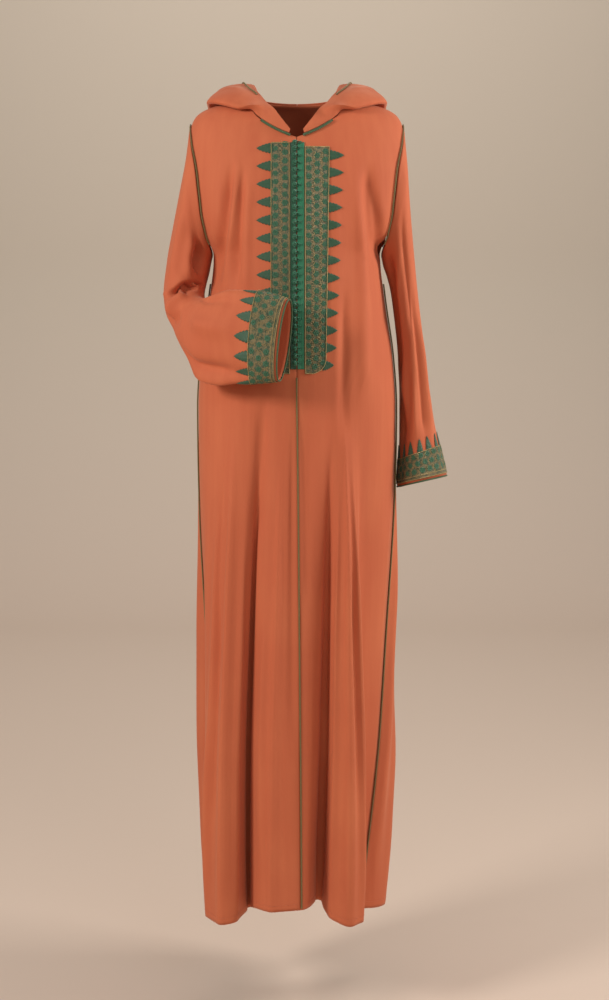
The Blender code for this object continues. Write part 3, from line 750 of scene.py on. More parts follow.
def skirt_lines():
    found = []
    for line in SKIRT_CREASES.strip().splitlines()[1:]:
        name, *numbers = line.split()
        offset, top, low, lean, width, depth = map(float, numbers)
        start = line_share[name] * HEM_LENGTH + offset
        found.append([start, top, start + lean, low, 0, width, depth])
    return found


chest_lines, back_lines = lines_of(CHEST_CREASES, 1, 1, 1, 1), lines_of(BACK_CREASES, 1, 1, 1, 1)
pleat_lines = skirt_lines()
sleeve_lines = {
    "sleeve_right": lines_of(BENT_CREASES, SLEEVE_GIRTH, 1, SLEEVE_GIRTH, 1),
    "sleeve_left": lines_of(STRAIGHT_CREASES, SLEEVE_GIRTH, 1, SLEEVE_GIRTH, 1),
}
hood_lines = lines_of(HOOD_CREASES, HOOD_STRETCH, 1, HOOD_STRETCH, 1)


def skin(share, level):
    """The robe's cloth with its creases."""
    share, level = np.broadcast_arrays(np.atleast_1d(share).astype(float), level)
    at = body_point(share, level)
    out = outward(body_point, share, level, 0.002, 0.002)
    front = smooth_step((-at[:, 1]) / 40)
    height = mixed(HEM_HEIGHT, YOKE_HEIGHT, level)
    lift = crease_lift(at[:, 0], height, chest_lines) * front
    lift += crease_lift(at[:, 0], height, back_lines) * smooth_step(at[:, 1] / 40)
    lift += crease_lift(share % 1 * HEM_LENGTH, height, pleat_lines, HEM_LENGTH)
    flat = smooth_step((np.abs(at[:, 0]) - 45) / 40)
    chest = front * smooth_step((height + 500) / 30)
    return at + out * (lift * mixed(1, flat, chest))[:, None]


def on_skin(share, level, lift):
    """Points lifted off the creased cloth along its normal, or pushed under it."""
    return skin(share, level) + outward(skin, share, level, 0.001, 0.002) * np.reshape(lift, (-1, 1))


def share_at(x, level):
    """The shares round the hem that lie at x on the front, at levels."""
    x, level = np.broadcast_arrays(np.atleast_1d(x).astype(float), level)
    low, high = np.where(x > 0, 0.0, RIGHT_SEAM), np.where(x > 0, LEFT_SEAM, 1.0)
    for _ in range(24):
        middle = (low + high) / 2
        short = body_point(middle, level)[:, 0] < x
        low, high = np.where(short, middle, low), np.where(short, high, middle)
    return low


def on_front(x, height, lift):
    """Points lifted off the front of the robe, at places across it and heights."""
    level = level_of(height)
    return on_skin(share_at(x, level), level, lift)


print("creases on the body:", len(chest_lines) + len(back_lines) + len(pleat_lines))

# %% [markdown]
# ## Cutting the cloth
# Every panel is a grid of points a few millimetres apart, taken from the creased surface and given the
# thickness of the crepe. The front is cut in two at the opening, the back is one width, and the side seams
# run down from the armholes. The UV map is the flat cloth in millimetres, so thread and weave keep their
# scale whatever the cloth does.


# %% Making a sheet of cloth
def add_piece(name, mesh, material):
    mesh.materials.append(material)
    piece = bpy.data.objects.new(name, mesh)
    bpy.context.scene.collection.objects.link(piece)
    return piece


def grid_mesh(name, grid, flat, closed=False):
    """A mesh through grid[row, column] of points; flat[row, column] is its UV map in millimetres."""
    rows, columns = grid.shape[:2]
    if closed:
        grid = np.concatenate([grid, grid[:, :1]], 1)
        step = flat[:, 1:2] - flat[:, :1]
        flat = np.concatenate([flat, flat[:, -1:] + step], 1)
        columns += 1
    corner = np.arange(rows * columns).reshape(rows, columns)
    quads = np.stack([corner[:-1, :-1], corner[:-1, 1:], corner[1:, 1:], corner[1:, :-1]], -1).reshape(-1, 4)
    mesh = bpy.data.meshes.new(name)
    mesh.from_pydata((grid.reshape(-1, 3) * MM).tolist(), [], quads.tolist())
    mesh.uv_layers.new(name="flat_mm").data.foreach_set("uv", flat.reshape(-1, 2)[quads.ravel()].ravel())
    if closed:
        joined = bmesh.new()
        joined.from_mesh(mesh)
        bmesh.ops.remove_doubles(joined, verts=joined.verts, dist=1e-6)
        joined.to_mesh(mesh)
        joined.free()
    mesh.shade_smooth()
    return mesh


def cloth_piece(name, grid, flat, material, thickness=CLOTH, closed=False, inwards=True):
    """A sheet with a thickness."""
    piece = add_piece(name, grid_mesh(name, grid, flat, closed), material)
    wall = piece.modifiers.new("wall", "SOLIDIFY")
    wall.thickness = thickness * MM
    wall.offset = -1 if inwards else 1
    wall.use_quality_normals = True
    return piece


def surface_grid(surface, us, vs):
    """surface(u, v) on every pair of us and vs, as rows of v."""
    u, v = np.meshgrid(us, vs)
    return surface(u.ravel(), v.ravel()).reshape(len(vs), len(us), 3)


# %% Front and back panels
HEM_STEP, RISE_STEP = 4.0, 6.5
levels = np.concatenate([np.linspace(0, 1, int(1336 / RISE_STEP)), 1 + np.linspace(0, 1, 26)[1:]])


def make_panel(name, start, end):
    edge = SEAM_GAP / 2 / HEM_LENGTH
    columns = np.linspace(start + edge, end - edge, int((end - start) * HEM_LENGTH / HEM_STEP))
    grid = surface_grid(skin, columns, levels)
    u, v = np.meshgrid(columns * HEM_LENGTH, mixed(HEM_HEIGHT, YOKE_HEIGHT, levels))
    piece = cloth_piece(name, grid, np.stack([u, v], -1), CREPE)
    print(name, len(columns), "x", len(levels), "points")
    return piece


front_left = make_panel("front_left_cloth", 0.0, LEFT_SEAM)
back = make_panel("back_cloth", LEFT_SEAM, RIGHT_SEAM)
front_right = make_panel("front_right_cloth", RIGHT_SEAM, 1.0)

# %% [markdown]
# ## Sleeves
# Each sleeve is a wide tube set into a deep armhole. The right one is bent, as if a hand rested at the waist;
# the cloth tucks deeply inside the elbow and the lower edge of the forearm drops in a soft fold. The left one
# hangs straight with long shallow folds. Both are lofted through the same rings as the solids.


# %% The sleeves' surface
def armhole_edge(side, turn):
    """The armhole's edge as a loop: turn 0 is the shoulder tip, 0.25 the front, 0.5 the underarm."""
    turn = np.atleast_1d(turn) % 1
    down = (2 * np.minimum(turn, 1 - turn)) ** 0.8
    height = mixed(SHOULDER_TIP_HEIGHT, UNDERARM_HEIGHT, 0.5 - 0.5 * np.cos(np.pi * down))
    drawn = 90 * armhole_bite(height)
    return form_point(np.where(turn > 0.5, 180 - drawn, drawn) * side, height)


def sleeve_rings(table, side):
    """What a sleeve's rings need: middles, half the reach across and the depth axis of each."""
    found = columns_of(table)
    inner = np.stack([found["inner_x"], found["place"], found["inner_z"]], 1)
    outer = np.stack([found["outer_x"], found["place"], found["outer_z"]], 1)
    middles, reaches = (inner + outer) / 2, (outer - inner) / 2
    ahead = []
    for k in range(len(middles)):
        tangent = middles[min(k + 1, len(middles) - 1)] - middles[max(k - 1, 0)]
        tangent[1] *= smooth_step((k - 2) / 3)
        ahead.append(to_unit(np.cross(tangent, reaches[k]) * side) * found["half_depth"][k])
    bows = np.outer(found["bow"], [side, 0, 0])
    armhole_middle = np.array([side * 166, 0, (SHOULDER_TIP_HEIGHT + UNDERARM_HEIGHT) / 2])
    stops = np.cumsum([np.linalg.norm(b - a) for a, b in zip([armhole_middle, *middles], middles)])
    rings = {"middles": middles, "reaches": reaches, "ahead": np.array(ahead), "bows": bows}
    return {"side": side, "stops": np.array([0, *stops]), **rings}


def sleeve_point(sleeve, turn, along):
    """Points of a sleeve, along millimetres down its middle from the armhole."""
    turn, along = np.broadcast_arrays(np.atleast_1d(turn).astype(float), along)
    start = armhole_edge(sleeve["side"], turn)[0] + np.array([sleeve["side"] * ARMHOLE_GAP, 0, 0])
    across = np.cos(2 * np.pi * turn)[None, :, None]
    depth = np.sin(2 * np.pi * turn)[None, :, None]
    rings = sleeve["middles"][:, None] + sleeve["reaches"][:, None] * across
    rings = rings + sleeve["ahead"][:, None] * depth + sleeve["bows"][:, None] * depth**2
    return eased(along, sleeve["stops"], np.concatenate([start[None], rings]))


def sleeve_skin(name, turn, along):
    """The sleeve's cloth with its creases, kept quiet near the armhole and under the cuff's embroidery."""
    sleeve = sleeves[name]
    end = sleeve["stops"][-1]
    turn, along = np.broadcast_arrays(np.atleast_1d(turn).astype(float), np.minimum(along, end))

    def plain(u, v):
        return sleeve_point(sleeve, u, np.clip(v, 0.5, end - 0.5))

    out = outward(plain, turn, along, 0.004, 1) * sleeve["side"]
    lift = crease_lift(turn * SLEEVE_GIRTH, along, sleeve_lines[name], SLEEVE_GIRTH)
    quiet = smooth_step(along / 25) * mixed(0.35, 1, smooth_step((end - 70 - along) / 40))
    return sleeve_point(sleeve, turn, along) + out * (lift * quiet)[:, None]


def on_sleeve(name, turn, along, lift):
    """Points lifted off a sleeve's creased cloth along its normal."""
    end = sleeves[name]["stops"][-1]

    def surface(u, v):
        return sleeve_skin(name, u, np.clip(v, 0, end))

    out = outward(surface, turn, np.clip(along, 1, end - 1), 0.004, 1) * sleeves[name]["side"]
    return surface(turn, along) + out * np.reshape(lift, (-1, 1))


sleeves = {
    "sleeve_right": sleeve_rings(BENT_SLEEVE, -1),
    "sleeve_left": sleeve_rings(STRAIGHT_SLEEVE, 1),
}


def make_sleeve(name):
    turns = np.arange(96) / 96
    if sleeves[name]["side"] < 0:
        turns = turns[::-1]
    rows = np.linspace(0, sleeves[name]["stops"][-1], 100)
    grid = surface_grid(lambda u, v: sleeve_skin(name, u, v), turns, rows)
    u, v = np.meshgrid(turns * SLEEVE_GIRTH, -rows)
    return cloth_piece(f"{name}_cloth", grid, np.stack([u, v], -1), CREPE, closed=True)


sleeve_left, sleeve_right = make_sleeve("sleeve_left"), make_sleeve("sleeve_right")

# %% [markdown]
# ## Hood
# The hood lies down on the shoulders. From the neckline's seam its cloth runs outward, folds back on itself
# and comes in again to the rim round the neck. At the front it is only a flat strip; down the back it drops
# to a point as an open pouch. It is two halves sewn together from the back of the neck to the point.


# %% The hood's surface
def inside_form(points):
    half_width, front, back_depth = form_sizes(points[:, 2])
    depth = np.where(points[:, 1] < 0, front, back_depth)
    within = (np.abs(points[:, 0]) / half_width) ** SQUARENESS + (np.abs(points[:, 1]) / depth) ** SQUARENESS
    return (within < 1) & (points[:, 2] <= section_heights[-1])


def kept_off_body(points, clearance):
    """The points pushed out from the body's middle until they lie clear of the form."""
    core = np.stack([points[:, 0] * 0.6, 0 * points[:, 0], np.minimum(points[:, 2], -70.0)], -1)
    ray = points - core
    near, far = np.full(len(points), 0.05), np.full(len(points), 4.0)
    for _ in range(22):
        middle = (near + far) / 2
        within = inside_form(core + ray * middle[:, None])
        near, far = np.where(within, middle, near), np.where(within, far, middle)
    reach = near + clearance / np.linalg.norm(ray, axis=1)
    return core + ray * np.maximum(1.0, reach)[:, None]


def hood_corners(bearing):
    """The neck seam, the outer fold's lower and upper edge, its bulge, the rim and the loft."""
    column = {name: eased(bearing, hood["bearing"], hood[name]) for name in hood}
    turned = smooth_step((bearing - 15) / 10)[:, None]
    fullness = column["fullness"][:, None]
    edge = form_point(bearing, neckline_height(bearing))[0]
    seam = mixed(edge + np.array([0, 0, HOOD_SEAM_RISE]), kept_off_body(edge, HOOD_SEAM_RISE), turned)
    rim = np.stack([column["rim_x"], column["rim_y"], column["rim_z"]], -1)
    fold = np.stack([column["fold_x"], column["fold_y"], column["fold_z"]], -1)
    fold = kept_off_body(fold, HOOD_CLEARANCE)
    thick = form_normal(fold)
    low = mixed(mixed(seam, rim, 0.5), fold, turned) + thick * HOOD_ROLL * 4 * turned * (1 - turned)
    high = low + mixed(to_unit(rim - seam), thick, turned) * fullness
    bulge = to_unit(low - seam) * fullness * 0.4 * turned
    chord = rim - high
    along = (thick * chord).sum(1, keepdims=True) / (chord**2).sum(1, keepdims=True)
    return seam, low, high, bulge, rim, (thick - chord * along) * column["loft"][:, None]


def hood_point(bearing, across):
    """The wearer's left half. Across is 0 to 1 from seam to fold, to 2 round the fold and to 3 at the rim."""
    bearing, across = np.broadcast_arrays(np.atleast_1d(bearing).astype(float), across)
    seam, low, high, bulge, rim, loft = hood_corners(bearing)
    t = across[:, None]
    under = mixed(seam, low, np.clip(t, 0, 1))
    clearance = mixed(HOOD_SEAM_RISE, HOOD_CLEARANCE, np.minimum(1, 2.5 * np.clip(across, 0, 1)))
    under = mixed(under, kept_off_body(under, clearance), smooth_step((bearing - 17) / 5)[:, None])
    bend = np.clip(t - 1, 0, 1)
    fold = mixed(low, high, bend) + bulge * np.sin(np.pi * bend)
    top = np.clip(t - 2, 0, 1)
    over = mixed(high, rim, top) + loft * np.sin(np.pi * top) ** 0.8
    at = np.where(t <= 1, under, np.where(t <= 2, fold, over))
    at[:, 0] = np.maximum(at[:, 0], SEAM_GAP / 2)
    return at


def hood_skin(bearing, across):
    """The hood with its creases, on the top layer only."""
    bearing, across = np.broadcast_arrays(np.atleast_1d(bearing).astype(float), across)
    out = outward(hood_point, bearing, np.clip(across, 0.02, 2.98), 0.5, 0.02)
    lift = crease_lift(bearing * HOOD_STRETCH, (across - 2) * 100, hood_lines)
    lift = lift * smooth_step((across - 2) / 0.15) * smooth_step((179 - bearing) / 8)
    at = hood_point(bearing, across) + out * lift[:, None]
    at[:, 0] = np.maximum(at[:, 0], SEAM_GAP / 2)
    return at


def make_hood_half(name, side):
    knots = np.array(HOOD_COLUMNS, float)
    columns = np.interp(np.linspace(0, len(knots) - 1, 6 * (len(knots) - 1) + 1), range(len(knots)), knots)
    under, fold, over = np.linspace(0, 1, 22), np.linspace(0, 1, 9), np.linspace(0, 1, 26)
    rows = np.concatenate([under, 1 + fold[1:], 2 + over[1:]])
    grid = surface_grid(hood_skin, columns, rows) * np.array([side, 1, 1])
    u, v = np.meshgrid(columns * HOOD_STRETCH, rows * 100)
    flat = np.stack([u * side, v], -1)
    if side < 0:
        grid, flat = grid[:, ::-1], flat[:, ::-1]
    return cloth_piece(name, grid, flat, CREPE)


hood_left, hood_right = make_hood_half("hood_left_cloth", 1), make_hood_half("hood_right_cloth", -1)

# %% [markdown]
# ## Cords on the seams
# A thin twisted cord is sewn over every seam: the centre front, the sides, the armholes and round the hood,
# with a thicker green one at the neckline and one on each cuff's edge. Each is a round tube swept along its
# seam on the creased cloth, with a UV map that runs round and along it, so that the twist stays even.

# %% Tubes along a path
CORD_RADIUS, NECK_CORD_RADIUS, PIPING_LIFT = 1.3, 2.1, 0.35
CORD_LIFT = CORD_RADIUS + PIPING_LIFT
FRONT_SEAM_TOP = -472


def evenly(points, step, closed=False):
    """The path walked again in even steps of about the given length."""
    points = np.asarray(points, float)
    if closed:
        points = np.concatenate([points, points[:1]])
    run = np.concatenate([[0], np.cumsum(np.linalg.norm(np.diff(points, axis=0), axis=1))])
    count = max(4, round(run[-1] / step))
    stops = np.linspace(0, run[-1], count + 1)
    if closed:
        stops = stops[:-1]
    return np.stack([np.interp(stops, run, points[:, axis]) for axis in range(3)], -1)


def tube_piece(name, paths, radius, material, step=3.0, closed=False, sides=10):
    """Round cords along paths, as one piece."""
    verts, faces, uvs = [], [], []
    for path in paths:
        line = evenly(path, step, closed)
        if closed:
            tangent = to_unit(np.roll(line, -1, 0) - np.roll(line, 1, 0))
        else:
            tangent = to_unit(np.gradient(line, axis=0))
        up = np.where(np.abs(tangent[:, 2:]) > 0.9, np.array([0.0, 1.0, 0.0]), np.array([0.0, 0.0, 1.0]))
        side = np.cross(tangent, up)
        for k in range(1, len(side)):
            side[k] = side[k - 1] - tangent[k] * np.dot(side[k - 1], tangent[k])
            side[k] /= np.linalg.norm(side[k])
        side = to_unit(side)
        other = np.cross(tangent, side)
        turn = 2 * np.pi * np.arange(sides) / sides
        ring = side[:, None] * np.cos(turn)[None, :, None] + other[:, None] * np.sin(turn)[None, :, None]
        base = sum(len(v) for v in verts)
        verts.append((line[:, None] + ring * radius).reshape(-1, 3))
        count = len(line)
        for k in range(count if closed else count - 1):
            for j in range(sides):
                after, low = (j + 1) % sides, (k + 1) % count
                faces.append([base + n for n in (k * sides + j, low * sides + j)])
                faces[-1] += [base + low * sides + after, base + k * sides + after]
                around, down = 2 * np.pi * radius / sides, step
                uvs += [(j * around, k * down), (j * around, (k + 1) * down)]
                uvs += [((j + 1) * around, (k + 1) * down), ((j + 1) * around, k * down)]
        if not closed:
            for first in (base, base + (count - 1) * sides):
                cap = [first + j for j in range(sides)]
                faces.append(cap if first != base else cap[::-1])
                uvs += [(0, 0)] * sides
    mesh = bpy.data.meshes.new(name)
    mesh.from_pydata((np.concatenate(verts) * MM).tolist(), [], faces)
    mesh.uv_layers.new(name="flat_mm").data.foreach_set("uv", np.array(uvs, float).ravel())
    mesh.shade_smooth()
    return add_piece(name, mesh, material)


# %% The seam cords
def seam_run(share, top):
    """A seam's path from just above the hem to a height."""
    heights = np.linspace(HEM_HEIGHT + 4, top, 240)
    return on_skin(share, level_of(heights), CORD_LIFT)


def armhole_path(side):
    """On the panels beside the armhole's seam: up the front, round the shoulder tip and down the back."""
    turn = np.linspace(-0.37, 0.37, 120)
    at, _ = armhole_edge(side, turn)
    along = armhole_edge(side, turn + 0.005)[0] - armhole_edge(side, turn - 0.005)[0]
    normal = form_normal(at)
    inward = to_unit(np.cross(normal, along)) * -side
    return at + inward * ARMHOLE_CORD_INSET + normal * (CORD_LIFT + 0.6)


def neck_path(side):
    bearing = np.linspace(2.5, 17, 40)
    at, out = form_point(bearing * side, neckline_height(bearing))
    return at + out * (NECK_CORD_RADIUS + PIPING_LIFT + 0.6) + np.array([0, 0, -0.6])


def hood_path(side):
    bearing, place = np.linspace(25, 176, 160), 2 + HOOD_CORD_PLACE
    out = outward(hood_skin, bearing, place, 0.5, 0.02)
    at = hood_skin(bearing, np.full_like(bearing, place)) + out * CORD_LIFT
    return at * np.array([side, 1, 1])


def cuff_edge(name, past):
    """Round the end of a sleeve, a little past its edge."""
    sleeve = sleeves[name]
    turn, end = np.arange(80) / 80, sleeve["stops"][-1]
    beyond = to_unit(sleeve["middles"][-1] - sleeve["middles"][-2]) * past
    return sleeve_skin(name, turn, np.full(80, end)) + beyond


cords = {}
cords["front_seam_cord"] = tube_piece(
    "front_seam_piping", [seam_run(0.0, FRONT_SEAM_TOP)], CORD_RADIUS, CORD_YARN
)
for hand, side, seam in (("left", 1, LEFT_SEAM), ("right", -1, RIGHT_SEAM)):
    side_run = seam_run(seam, UNDERARM_HEIGHT - 45)
    for part, path, radius, yarn in (
        ("side_seam", side_run, CORD_RADIUS, CORD_YARN),
        ("armhole", armhole_path(side), CORD_RADIUS, CORD_YARN),
        ("neck", neck_path(side), NECK_CORD_RADIUS, NECK_YARN),
        ("hood", hood_path(side), CORD_RADIUS, CORD_YARN),
    ):
        cords[f"{part}_cord_{hand}"] = tube_piece(f"{part}_piping_{hand}", [path], radius, yarn)
    edge = cuff_edge(f"sleeve_{hand}", CORD_LIFT)
    cords[f"cuff_cord_{hand}"] = tube_piece(
        f"cuff_piping_{hand}", [edge], CORD_RADIUS, NECK_YARN, closed=True
    )
print("cords:", len(cords))

# %% [markdown]
# ## Chest piece: ground, leaves and piping
# The plastron is embroidered on its own stiff ground and stitched down on either side of the opening. Its
# outer edge is a row of pointed satin leaves with the robe showing in the notches between them. A gold cord
# runs where leaves and ground meet. The ground is one thin plate that follows the chest; each leaf is a
# domed plate with a serrated edge and a vein, laid on the cloth at its own place.

# %% The plastron's plan, in millimetres across from centre front
PLASTRON = {
    "right": {"side": -1, "inner": 11.3, "top": -76.0, "valley": (43, 43), "leaf": (24, 24)},
    "left": {"side": 1, "inner": 13.7, "top": -88.0, "valley": (55, 49), "leaf": (25, 16)},
}
PLASTRON_BOTTOM, LEAVES, LAID_GAP, EMBROIDERY, ROUNDING = -466.0, 13, 0.7, 0.9, 24.0


def plastron_width(plan, height):
    """The ground's outer edge and the leaves' length at heights."""
    down = (plan["top"] - height) / (plan["top"] - PLASTRON_BOTTOM)
    valley, leaf = mixed(*plan["valley"], down), mixed(*plan["leaf"], down)
    rounding = np.clip(1 - (height - PLASTRON_BOTTOM) / ROUNDING, 0, 1)
    shrink = 1 - 0.75 * (1 - np.sqrt(1 - rounding**2))
    return plan["inner"] + (valley - plan["inner"]) * shrink, leaf * shrink


def make_ground(name, plan):
    heights = np.linspace(PLASTRON_BOTTOM, plan["top"], 160)
    edge = plastron_width(plan, heights)[0]
    across = np.linspace(0, 1, 18)
    x = (plan["inner"] + (edge - plan["inner"])[:, None] * across[None, :]) * plan["side"]
    if plan["side"] < 0:
        x = x[:, ::-1]
    height = np.repeat(heights[:, None], len(across), 1)
    grid = on_front(x.ravel(), height.ravel(), LAID_GAP).reshape(*x.shape, 3)
    return cloth_piece(name, grid, np.stack([x, height], -1), GROUND, EMBROIDERY, inwards=False)


def leaf_outline(t, half, teeth):
    """Half the breadth of a leaf from root (0) to tip (1), with a serrated edge."""
    body = (1 - t) ** 0.85 * (0.95 + 0.5 * t)
    saw = 1 - 0.24 * (teeth * t % 1)
    return half * body * saw


def leaf_patch(length, half, domed, ring=13):
    """A leaf's points as (out, across, lift) grids, root to tip and edge to edge."""
    t = np.linspace(0, 1, 31)[:, None]
    s = np.linspace(-1, 1, ring)[None, :]
    out = length * (t + 0 * s)
    across = leaf_outline(t, half, 5) * s
    vein = 0.5 * np.exp(-((s / 0.12) ** 2))
    ribs = 0.12 * np.sin(2 * np.pi * (7 * t + 1.2 * np.abs(s)))
    lift = domed * (1 - s**2) * (1 - 0.3 * t) - vein * (1 - t) + ribs * (1 - s**2)
    return out, across, lift


def merged_mesh(name, grids, flats):
    """Several point grids as one mesh."""
    verts, faces, uvs, base = [], [], [], 0
    for grid, flat in zip(grids, flats):
        rows, columns = grid.shape[:2]
        corner = base + np.arange(rows * columns).reshape(rows, columns)
        round_quad = [corner[:-1, :-1], corner[:-1, 1:], corner[1:, 1:], corner[1:, :-1]]
        quads = np.stack(round_quad, -1).reshape(-1, 4)
        verts.append(grid.reshape(-1, 3))
        faces.append(quads)
        uvs.append(flat.reshape(-1, 2)[(quads - base).ravel()])
        base += rows * columns
    mesh = bpy.data.meshes.new(name)
    mesh.from_pydata((np.concatenate(verts) * MM).tolist(), [], np.concatenate(faces).tolist())
    mesh.uv_layers.new(name="flat_mm").data.foreach_set("uv", np.concatenate(uvs).ravel())
    mesh.shade_smooth()
    return mesh


def make_leaves(name, plan):
    """The outer row of leaves."""
    grids, flats = [], []
    pitch = (plan["top"] - PLASTRON_BOTTOM) / LEAVES
    for k in range(LEAVES):
        middle = plan["top"] - pitch * (k + 0.5)
        edge, leaf = (float(v[0]) for v in plastron_width(plan, np.array([middle])))
        out, across, lift = leaf_patch(leaf + 3.5, pitch * 0.36, 1.0)
        x = (edge - 3.5 + out) * plan["side"]
        height = middle - across * plan["side"]
        grid = on_front(x.ravel(), height.ravel(), (LAID_GAP + lift + 0.4).ravel()).reshape(*x.shape, 3)
        flats.append(np.stack([out, across], -1))
        grids.append(grid)
    piece = add_piece(name, merged_mesh(name, grids, flats), LEAF_SILK)
    wall = piece.modifiers.new("wall", "SOLIDIFY")
    wall.thickness = 0.4 * MM
    wall.offset = -1
    return piece


ground_right = make_ground("plastron_ground_right", PLASTRON["right"])
ground_left = make_ground("plastron_ground_left", PLASTRON["left"])
leaves_right = make_leaves("plastron_leaves_right", PLASTRON["right"])
leaves_left = make_leaves("plastron_leaves_left", PLASTRON["left"])

# %% [markdown]
# ## Flower motifs and gold scrolls
# The ground is filled with round flowers in staggered rows. Each is a small rosette of satin petals round a
# knot, with a curl of couched gold thread beside it. One flower and one scroll are modelled once. Geometry
# Nodes puts a copy at every place in the pattern and stands it on the cloth, as an embroidery machine
# repeats its motif. The trees end in real meshes, and the modifiers are removed once they have run.

# %% One flower, one scroll
FLOWER_ACROSS, SCROLL_ACROSS = 10.5, 13.0


def flower_mesh():
    """Six domed petals round a raised knot, lying in XY with Z up; its UV unit is a millimetre."""
    grids, flats = [], []
    t, s = np.linspace(0, 1, 7)[:, None], np.linspace(-1, 1, 5)[None, :]
    for k in range(6):
        angle = math.tau * k / 6
        reach = 1.2 + (FLOWER_ACROSS / 2 - 1.2) * t + 0 * s
        half = 2.1 * np.sin(np.pi * (0.1 + 0.86 * t)) ** 0.7 * s
        lift = 0.75 * np.sin(np.pi * (0.08 + 0.84 * t)) * (1 - 0.8 * s**2)
        x = reach * math.cos(angle) - half * math.sin(angle)
        y = reach * math.sin(angle) + half * math.cos(angle)
        grids.append(np.stack([x, y, lift], -1))
        flats.append(np.stack([half, reach], -1))
    turn, rise = np.linspace(0, math.tau, 9)[None, :], np.linspace(0, 1, 4)[:, None]
    knot = 1.5 * np.cos(np.pi / 2 * rise)
    dome = np.stack([knot * np.cos(turn), knot * np.sin(turn), 1.0 * np.sin(np.pi / 2 * rise) + 0 * turn], -1)
    grids.append(dome)
    flats.append(np.stack([dome[..., 0], dome[..., 1]], -1))
    return merged_mesh("flower", grids, flats)


def scroll_paths():
    """Two curls of thread that spring apart and turn in on themselves."""
    turn = np.linspace(0.2, 1, 22)
    found = []
    for way in (-1, 1):
        angle, reach = math.tau * 1.05 * turn, SCROLL_ACROSS * 0.30 * turn**1.2
        x = way * (reach * np.cos(angle) + SCROLL_ACROSS * 0.22)
        y = reach * np.sin(angle) * 1.1
        found.append(np.stack([x, y, 0.45 + 0 * x], -1))
    return found


flower = add_piece("flower_motif", flower_mesh(), FLOWER_SILK)
scroll = tube_piece("scroll_motif", scroll_paths(), 0.38, GOLD_THREAD, 0.9, sides=5)


# %% Geometry Nodes that repeat a motif
def motif_tree():
    """Copies Motif to every point, turned to the point's turn attribute, scaled by Size."""
    tree = bpy.data.node_groups.new("repeat a motif", "GeometryNodeTree")
    face = tree.interface
    face.new_socket("Points", in_out="INPUT", socket_type="NodeSocketGeometry")
    face.new_socket("Motif", in_out="INPUT", socket_type="NodeSocketObject")
    face.new_socket("Finish", in_out="INPUT", socket_type="NodeSocketMaterial")
    face.new_socket("Size", in_out="INPUT", socket_type="NodeSocketFloat")
    face.new_socket("Size spread", in_out="INPUT", socket_type="NodeSocketFloat")
    face.new_socket("Seed", in_out="INPUT", socket_type="NodeSocketInt")
    face.new_socket("Result", in_out="OUTPUT", socket_type="NodeSocketGeometry")
    given = add_node(tree, "NodeGroupInput").outputs
    points = add_node(tree, "GeometryNodeMeshToPoints", _0=given["Points"])
    turn = add_node(tree, "GeometryNodeInputNamedAttribute", {"data_type": "FLOAT_VECTOR"}, Name="turn")
    shape = add_node(tree, "GeometryNodeObjectInfo", Object=given["Motif"])
    least, most = (
        add_node(tree, "ShaderNodeMath", {"operation": sign}, _0=given["Size"], _1=given["Size spread"])
        for sign in ("SUBTRACT", "ADD")
    )
    size = add_node(
        tree,
        "FunctionNodeRandomValue",
        {"data_type": "FLOAT"},
        _2=least.outputs[0],
        _3=most.outputs[0],
        Seed=given["Seed"],
    )
    copies = add_node(
        tree,
        "GeometryNodeInstanceOnPoints",
        Points=points.outputs[0],
        Instance=shape.outputs["Geometry"],
        Rotation=turn.outputs[0],
        Scale=size.outputs[1],
    )
    real = add_node(tree, "GeometryNodeRealizeInstances", _0=copies.outputs[0])
    finish = add_node(tree, "GeometryNodeSetMaterial", Geometry=real.outputs[0], Material=given["Finish"])
    add_node(tree, "NodeGroupOutput", _0=finish.outputs[0])
    return tree


MOTIF_TREE = motif_tree()


def repeated(name, motif, finish, places, turns, size=1.0, spread=0.0, seed=1):
    """A motif at every place (millimetres), turned by XYZ angles, as one plain mesh."""
    carrier = bpy.data.meshes.new(f"{name}_places")
    carrier.from_pydata((places * MM).tolist(), [], [])
    carrier.attributes.new("turn", "FLOAT_VECTOR", "POINT").data.foreach_set("vector", np.ravel(turns))
    holder = bpy.data.objects.new(name, carrier)
    bpy.context.scene.collection.objects.link(holder)
    repeat = holder.modifiers.new("repeat", "NODES")
    repeat.node_group = MOTIF_TREE
    values = {"Motif": motif, "Finish": finish, "Size": size, "Size spread": spread, "Seed": seed}
    for item in MOTIF_TREE.interface.items_tree:
        if item.name in values:
            repeat[item.identifier] = values[item.name]
    graph = bpy.context.evaluated_depsgraph_get()
    mesh = bpy.data.meshes.new_from_object(holder.evaluated_get(graph))
    mesh.name = name
    bpy.data.objects.remove(holder)
    bpy.data.meshes.remove(carrier)
    mesh.shade_smooth()
    piece = bpy.data.objects.new(name, mesh)
    bpy.context.scene.collection.objects.link(piece)
    return piece


def standing_turns(normals, upward, spins):
    """XYZ angles that stand a motif's Z on the normals with its Y along upward, spun about Z by spins."""
    found = []
    for normal, up, spin in zip(normals, upward, spins):
        z = Vector(normal).normalized()
        x = Vector(up).cross(z).normalized()
        y = z.cross(x)
        across, along = x * math.cos(spin) + y * math.sin(spin), y * math.cos(spin) - x * math.sin(spin)
        found.append(tuple(Matrix((across, along, z)).transposed().to_euler("XYZ")))
    return np.array(found)




# %% The chest piece's pattern
FLOWER_PITCH, GOLD_RADIUS = 14.0, 0.6
dice = random.Random(7)


